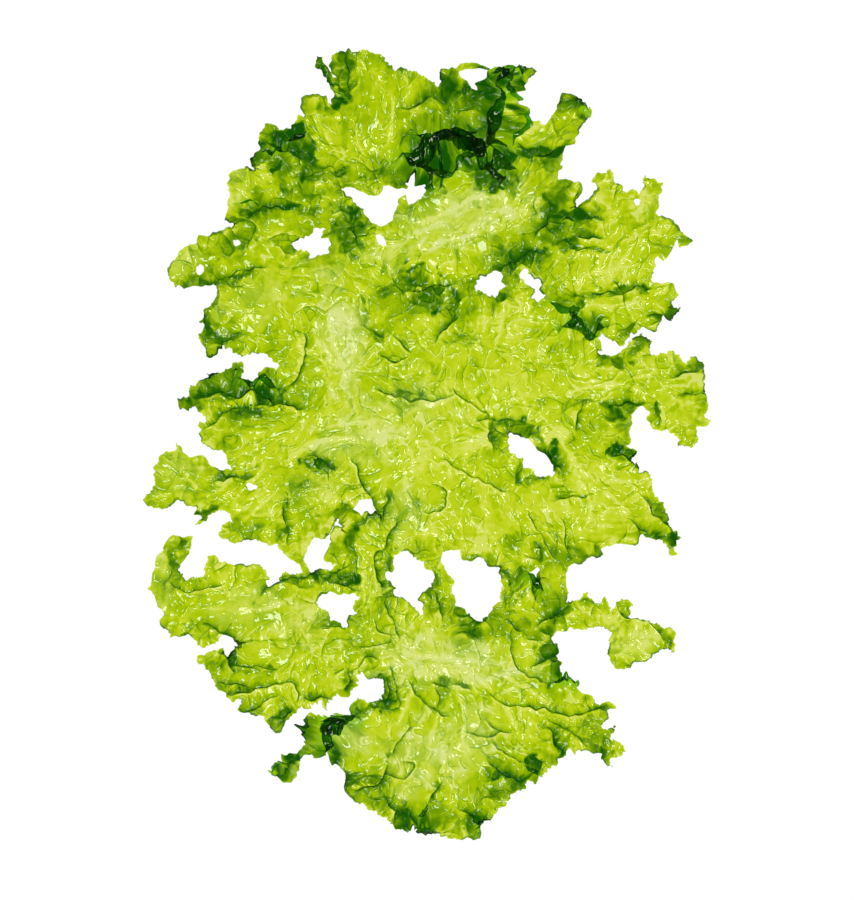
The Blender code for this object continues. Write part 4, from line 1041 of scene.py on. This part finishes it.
def membrane():
    """The whole membrane: places, triangles, and what the material needs at each point."""
    rng = np.random.default_rng(SEED)
    rings = [ragged(ring) for ring in border_rings(*solid_top(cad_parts["thallus"]))]
    listed = [((a, b), dark, path) for a, b, dark, path in FOLDS]
    margin_pleats = small_folds(rings, rng)
    creases = inner_creases(rings, rng)
    ridges = wrinkles(rings, rng)
    pleats = margin_pleats + crumple_folds(rng)
    rest, triangles, nearest, gap = flat_blade(rings)
    x, y = rest.T
    run = np.concatenate([np.arange(len(ring)) * FINE for ring in rings])[nearest]

    # The sheet, curled, folded and gathered.
    sheet = {name: np.zeros(len(rest)) for name in ("height", "depth", "lip", "layered", "edge")}
    sheet["plan"] = rest.copy()
    sheet["away"] = np.full(len(rest), FAR)
    curled(sheet, nearest, gap, rings)
    for widths, dark, path, pull in creases + pleats:
        fold(sheet, widths, dark, path, pull)
    for widths, dark, path in listed:
        wide = min(widths) > WIDE_FOLD
        fold(sheet, widths, (0.5 if wide else 1.35) * dark, path, OVER if wide else SLIGHT)
    shade, gathered = gathers(x, y, listed)
    ribs = raised(x, y, [(path, half, height) for half, height, path in RIBS])
    layered = sheet["layered"]

    # Its tissue: crumpled, pale, smooth, dense and bright places.
    crumpled = 1.2 * patches(x, y, CRUMPLES, 1.22, streaks=0.5)
    # The folds' depth of colour is painted shade beside and along them; the crumpled places are darker for
    # their layers.
    depth = np.maximum(sheet["depth"], crumpled) * (1 - 0.75 * layered)
    pale = np.minimum(patches(x, y, PALE_PLACES, streaks=0.4), 0.8) * (1 - 0.8 * depth)
    smooth = patches(x, y, CALM_PLACES)
    dense = np.maximum(patches(x, y, DENSE_PLACES, 1.4, streaks=0.35), flaps(x, y) * (1 - 0.7 * layered))
    tone = patches(x, y, BRIGHT_PLACES, 1.8) * smoothstep(1 - dense) - dense
    wx, wy = wandering(x, y)
    facet = facets(wx / 9, wy / 12, 25)
    tone += 0.1 - 0.2 * facet - 0.2 * smoothstep((facet - 0.8) / 0.05)
    # Painted light along the raised ribs and beside fold edges, and painted shade from the gathers beside
    # the folds.
    tone += 0.8 * ribs - 0.6 * shade + 0.8 * sheet["lip"]

    # Its place, back in its outline and slightly crinkled, and its height.
    plan = sheet["plan"]
    kept_in_outline(plan, rest, nearest, gap, rings)
    px, py = plan.T
    free = freedom(px, py)
    for axis in (0, 1):
        plan[:, axis] += free * (0.5 * noise(px / 4.5, py / 4.5, 83 + axis)
                                 + 0.25 * noise(px / 2.1, py / 2.1, 85 + axis))
    broad = 1.3 * noise(px / 26, py / 26, 81) + 0.7 * noise(px / 13, py / 13, 82)
    calm = 1 - 0.65 * np.maximum(pale, smooth)
    height = sheet["height"] + gathered + ribs + raised(x, y, zip(*ridges))
    height += base_height(plan) + LIFT + broad + margin_frill(run, gap)
    height += calm * (0.85 * relief(x, y) + 0.12 * relief(px + ASIDE, py))
    flattened = LOWEST + (FLATTENED - LOWEST) * np.exp(np.minimum(height - FLATTENED, 0))
    places = np.column_stack([plan, np.where(height < FLATTENED, flattened, height)])

    values = {"rim": np.minimum(gap, WIDEST_RIM), "away": sheet["away"], "edge": sheet["edge"],
              "depth": depth, "layered": layered, "pale": pale, "tone": tone,
              "slope": slopes(places, triangles), "hollow": hollows(places, triangles)}
    values.update(wrinkle_lines(x, y, smooth))
    return places, triangles, values


def membrane_object(material):
    places, triangles, values = membrane()
    mesh = bpy.data.meshes.new("thallus_membrane")
    mesh.vertices.add(len(places))
    mesh.vertices.foreach_set("co", (places * MM).astype(np.float32).ravel())
    mesh.loops.add(3 * len(triangles))
    mesh.loops.foreach_set("vertex_index", triangles.astype(np.int32).ravel())
    mesh.polygons.add(len(triangles))
    mesh.polygons.foreach_set("loop_start", np.arange(0, 3 * len(triangles), 3, dtype=np.int32))
    mesh.update(calc_edges=True)
    mesh.validate()
    for name, numbers in values.items():
        layer = mesh.attributes.new(name, "FLOAT", "POINT")
        layer.data.foreach_set("value", numbers.astype(np.float32))
    mesh.shade_smooth()
    mesh.materials.append(material)
    piece = bpy.data.objects.new("thallus_membrane", mesh)
    bpy.context.scene.collection.objects.link(piece)
    return piece


# ---------- materials ----------

class Value:
    """A number that nodes work out at each point of a surface, for use in plain arithmetic."""

    def __init__(self, nodes, socket):
        self.nodes = nodes
        self.socket = socket

    def __add__(self, other):
        return self.nodes.math("ADD", self, other)

    def __sub__(self, other):
        return self.nodes.math("SUBTRACT", self, other)

    def __rsub__(self, other):
        return self.nodes.math("SUBTRACT", other, self)

    def __mul__(self, other):
        return self.nodes.math("MULTIPLY", self, other)

    def __pow__(self, other):
        return self.nodes.math("POWER", self, other)

    def __rpow__(self, other):
        return self.nodes.math("POWER", other, self)


class Nodes:
    """A short way to write a material's nodes."""

    def __init__(self, material):
        material.use_nodes = True
        self.tree = material.node_tree
        self.tree.nodes.clear()

    def add(self, kind, settings=(), **inputs):
        """Adds a node, whose inputs are given by name, or as i and a number."""
        node = self.tree.nodes.new(kind)
        for name, value in dict(settings).items():
            setattr(node, name, value)
        for name, value in inputs.items():
            key = int(name[1:]) if name[0] == "i" and name[1:].isdigit() else name.replace("_", " ")
            self.put(node.inputs[key], value)
        return node

    def put(self, socket, value):
        if isinstance(value, Value):
            value = value.socket
        if isinstance(value, bpy.types.NodeSocket):
            self.tree.links.new(value, socket)
        else:
            socket.default_value = value

    def value(self, name):
        """What the mesh holds at each point under this name."""
        return Value(self, self.add("ShaderNodeAttribute", {"attribute_name": name}).outputs["Fac"])

    def math(self, operation, a, b):
        return Value(self, self.add("ShaderNodeMath", {"operation": operation}, i0=a, i1=b).outputs[0])

    def least(self, a, b):
        return self.math("MINIMUM", a, b)

    def most(self, a, b):
        return self.math("MAXIMUM", a, b)

    def mapped(self, value, from_min, from_max, to_min, to_max):
        node = self.add("ShaderNodeMapRange", {"interpolation_type": "SMOOTHSTEP"}, Value=value,
                        From_Min=from_min, From_Max=from_max, To_Min=to_min, To_Max=to_max)
        return Value(self, node.outputs["Result"])

    def tent(self, value, centre, half_width):
        """1 where the value is at the centre, falling evenly to 0 at half a width to both sides."""
        away = self.add("ShaderNodeMath", {"operation": "ABSOLUTE"}, i0=value - centre).outputs[0]
        return 1.0 - self.least(self.math("DIVIDE", away, half_width), 1.0)

    def mixed(self, share, a, b):
        node = self.add("ShaderNodeMix", {"data_type": "RGBA", "clamp_factor": True}, i0=share, i6=a, i7=b)
        return node.outputs[2]

    def noise(self, place, scale, detail, distortion=0.0):
        node = self.add("ShaderNodeTexNoise", Vector=place, Scale=scale, Detail=detail,
                        Distortion=distortion)
        return Value(self, node.outputs["Fac"])


# What passes through one layer of tissue, and how many layers the tissue counts as.
RED_PASSED = 0.605
GREEN_PASSED = 0.74
BLUE_PASSED = 0.02
FEWEST_LAYERS = 0.5
MOST_CROSSED = 9.0      # before folds that lie over themselves and dense places are counted in
MOST_LAYERS = 8.0
DARK_LAYERS = 5.0       # from here on, red fades faster than green

YELLOW_GREEN = (0.38, 0.52, 0.003, 1)
LEAF_GREEN = (0.32, 0.50, 0.002, 1)
FOLDED_GREEN = (0.01, 0.30, 0.002, 1)
DARK_GREEN = (0.004, 0.14, 0.002, 1)
PALE_GREEN = (0.56, 0.66, 0.16, 1)
WHITE = (1, 1, 1, 1)
FLOOR_GREY = (0.08, 0.08, 0.08, 1)

SKIN_ROUGHNESS = 0.045
SKIN_IOR = 1.40
MOST_MIRRORED = 0.04    # share of light that the wet skin reflects at most
BUMP_DEPTH = 0.0004     # in metres, like the next two
LONG_LINE_HEIGHT = 0.00018
SHORT_LINE_HEIGHT = 0.00012


def membrane_material():
    """Wet tissue: light passes through it tinted, more so where it is dense and where shade is painted in,
    less where light is painted in, and its wet skin is glossy.
    """
    material = bpy.data.materials.new("membrane")
    n = Nodes(material)
    place = n.add("ShaderNodeTexCoord").outputs["Object"]
    rim, depth, pale = n.value("rim"), n.value("depth"), n.value("pale")
    slope, hollow, tone = n.value("slope"), n.value("hollow"), n.value("tone")
    layered = n.value("layered")
    cloud = n.noise(place, 60.0, 3.0)
    mottle = n.noise(place, 420.0, 3.0, 0.6)
    patchy = n.noise(place, 130.0, 2.0)

    # Fine wrinkles, each with a painted highlight along its crest and painted shade on one side.
    shown = n.value("lines_shown")
    long_field, short_field = n.value("long_lines"), n.value("short_lines")
    long_shown = n.mapped(shown, -0.1, 0.25, 0.0, 1.0)
    short_shown = n.mapped(shown, -0.5, -0.2, 1.0, 0.0)
    long_line = n.tent(long_field, 0.0, 0.6) * long_shown
    short_line = n.tent(short_field, 0.0, 0.6) * short_shown
    crest = n.most(n.tent(long_field, 0.0, 0.26) * long_shown, n.tent(short_field, 0.0, 0.24) * short_shown)
    long_shade = n.tent(long_field, 0.55, 0.4) * long_shown
    short_shade = n.tent(short_field, -0.55, 0.4) * short_shown

    # Painted shade in sharp valleys and along the crisp edges of folds, with a painted highlight line
    # beside them.
    valleys, valleys_shown = n.value("valleys"), n.mapped(n.value("valleys_shown"), -0.1, 0.3, 0.0, 1.0)
    crease = n.tent(valleys, 0.0, 0.20) * valleys_shown
    beside = n.tent(valleys, 0.35, 0.55) * valleys_shown
    away, edge_strength = n.value("away"), n.least(n.value("edge"), 0.7)
    edge = n.tent(away, 0.05, 0.26) * edge_strength
    edge_light = n.tent(away, -0.6, 0.35) * edge_strength

    # How many layers of tissue the light seems to cross. Painted shade adds to them in creases, hollows,
    # beside valleys and wrinkles, along and beside folds and where the membrane tilts; painted light takes
    # from them on rises, wrinkle crests, ribs and beside fold edges.
    layers = n.mapped(cloud, 0.35, 0.65, 1.15, 0.9)
    for amount in (n.mapped(mottle, 0.4, 0.75, 0.0, 0.35),
                   # Painted shade on the folds' far sides, with the crumpled places' layers.
                   depth ** 1.2 * 7.0,
                   # Painted shade along fold edges, and painted light beside them.
                   edge * 4.5,
                   edge_light * -1.5,
                   n.most(tone, 0.0) * -0.8,
                   # Painted shade where the membrane tilts and in hollows, and painted light on rises.
                   slope * n.mapped(rim, 0.0, 2.0, 0.0, 1.1),
                   hollow * n.mapped(rim, 0.0, 1.5, 0.1, 0.45),
                   # Painted shade in and beside the sharp valleys.
                   crease * (1.6 - pale),
                   beside * 0.5,
                   long_shade * 0.6,
                   short_shade * 0.6,
                   n.mapped(rim, 0.5, 3.0, 0.6, 0.0) * n.mapped(patchy, 0.42, 0.6, 0.0, 1.0),
                   n.mapped(rim, 0.0, 0.7, -0.5, 0.0),
                   pale * -0.7,
                   # Painted highlight on the wrinkle crests.
                   crest * -0.9):
        layers = layers + amount
    layers = n.least(n.most(layers, FEWEST_LAYERS), MOST_CROSSED)
    layers = layers + (1.3 - layers) * (layered * 0.8)
    layers = layers + n.least(tone, 0.0) * (layered - 2.0)
    layers = n.least(layers, MOST_LAYERS)

    # What colour comes through, and the colour of the tissue itself, both following the layers above and so
    # their painted shade and light too.
    dark = n.most(layers - DARK_LAYERS, 0.0)
    red_layers = layers + dark ** 2.0 * 0.12 + layered * 0.7
    # Whiter where the tissue is pale, and a painted highlight on the wrinkle crests.
    paleness_and_sheen = 0.5 ** layers * (pale * 0.26 + crest * 0.12)
    tint = n.add("ShaderNodeCombineColor", Red=RED_PASSED ** red_layers, Green=GREEN_PASSED ** layers,
                 Blue=BLUE_PASSED ** layers + paleness_and_sheen).outputs[0]
    leaf = n.mixed(n.mapped(cloud, 0.35, 0.65, 0.0, 1.0), LEAF_GREEN, YELLOW_GREEN)
    leaf = n.mixed(layered * 0.9, leaf, FOLDED_GREEN)
    leaf = n.mixed(n.mapped(layers, 1.5, 5.0, 0.0, 1.0), leaf, DARK_GREEN)
    leaf = n.mixed(pale * 0.6, leaf, PALE_GREEN)

    bump = n.add("ShaderNodeBump", Strength=0.10, Distance=BUMP_DEPTH, Height=mottle)
    for line, height in ((long_line, LONG_LINE_HEIGHT), (short_line, SHORT_LINE_HEIGHT)):
        bump = n.add("ShaderNodeBump", Strength=1.0, Distance=height, Height=line, Normal=bump.outputs[0])
    skin = bump.outputs[0]

    clear = n.add("ShaderNodeBsdfTransparent", Color=tint).outputs[0]
    matt = n.add("ShaderNodeBsdfDiffuse", Color=leaf, Normal=skin).outputs[0]
    through = n.add("ShaderNodeBsdfTranslucent", Color=leaf, Normal=skin).outputs[0]
    tissue = n.add("ShaderNodeMixShader", i0=0.5, i1=matt, i2=through).outputs[0]
    presence = n.mapped(depth, 0.0, 1.0, 0.20, 0.30)
    body = n.add("ShaderNodeMixShader", i0=presence, i1=clear, i2=tissue).outputs[0]
    wet = n.add("ShaderNodeBsdfGlossy", Color=WHITE, Roughness=SKIN_ROUGHNESS, Normal=skin).outputs[0]
    mirror = n.least(n.add("ShaderNodeFresnel", IOR=SKIN_IOR, Normal=skin).outputs[0], MOST_MIRRORED)
    mirror = mirror * n.mapped(layers, 2.0, 5.0, 1.0, 0.45)
    surface = n.add("ShaderNodeMixShader", i0=mirror, i1=body, i2=wet).outputs[0]
    n.add("ShaderNodeOutputMaterial", Surface=surface)
    return material


def floor_material():
    """A pale sheet with some light of its own, as on a light table."""
    material = bpy.data.materials.new("floor")
    n = Nodes(material)
    matt = n.add("ShaderNodeBsdfDiffuse", Color=FLOOR_GREY)
    glow = n.add("ShaderNodeEmission", Color=WHITE, Strength=0.97)
    both = n.add("ShaderNodeAddShader", i0=matt.outputs[0], i1=glow.outputs[0])
    n.add("ShaderNodeOutputMaterial", Surface=both.outputs[0])
    return material


# ---------- floor, light and camera, in metres ----------

FLOOR_SIZE = 4.0
FLOOR_DROP = 0.0001             # keeps the floor clear of the blade's lowest points
SOFTBOXES = ((125, 24), (15, 30), (255, 28))    # azimuth, and degrees away from straight overhead
SOFTBOX_DISTANCE = 1.2
SOFTBOX_SIZE = (0.30, 0.22)
SOFTBOX_RADIANCE = 14
VIEW_HEIGHT = 0.300             # how much of the floor the picture shows, from bottom to top
VIEW_MIDDLE = (0.0004, -0.0017)
CAMERA_HEIGHT = 2.0


def add_floor():
    bpy.ops.mesh.primitive_plane_add(size=FLOOR_SIZE, location=(0, 0, -FLOOR_DROP))
    floor = bpy.context.object
    floor.name = "floor"
    floor.data.materials.append(floor_material())


def add_softbox(azimuth, tilt):
    """A light that faces the middle of the floor."""
    a, t = math.radians(azimuth), math.radians(tilt)
    way = Vector((math.cos(a) * math.sin(t), math.sin(a) * math.sin(t), math.cos(t)))
    light = bpy.data.lights.new("softbox", "AREA")
    light.shape = "RECTANGLE"
    light.size, light.size_y = SOFTBOX_SIZE
    light.energy = SOFTBOX_RADIANCE * math.pi * light.size * light.size_y
    lamp = bpy.data.objects.new("softbox", light)
    lamp.location = way * SOFTBOX_DISTANCE
    lamp.rotation_euler = (-way).to_track_quat("-Z", "Y").to_euler()
    bpy.context.scene.collection.objects.link(lamp)


def add_light():
    world = bpy.data.worlds.new("studio")
    bpy.context.scene.world = world
    n = Nodes(world)
    way = n.add("ShaderNodeTexCoord").outputs["Generated"]
    up = n.add("ShaderNodeSeparateXYZ", Vector=way).outputs["Z"]
    strength = n.mapped(up, 0.0, 0.5, 0.12, 0.03)
    sky = n.add("ShaderNodeBackground", Color=WHITE, Strength=strength)
    n.add("ShaderNodeOutputWorld", Surface=sky.outputs[0])
    for azimuth, tilt in SOFTBOXES:
        add_softbox(azimuth, tilt)


def add_camera():
    camera = bpy.data.cameras.new("camera")
    camera.sensor_fit = "VERTICAL"
    camera.sensor_height = 24.0
    camera.lens = camera.sensor_height * CAMERA_HEIGHT / VIEW_HEIGHT
    camera.clip_end = 20
    holder = bpy.data.objects.new("camera", camera)
    holder.location = (*VIEW_MIDDLE, CAMERA_HEIGHT)
    bpy.context.scene.collection.objects.link(holder)
    bpy.context.scene.camera = holder


piece = membrane_object(membrane_material())
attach(piece, "root")
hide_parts("thallus")

add_floor()
add_light()
add_camera()
bpy.context.scene.view_settings.view_transform = "Standard"
bpy.context.scene.cycles.transparent_max_bounces = 40
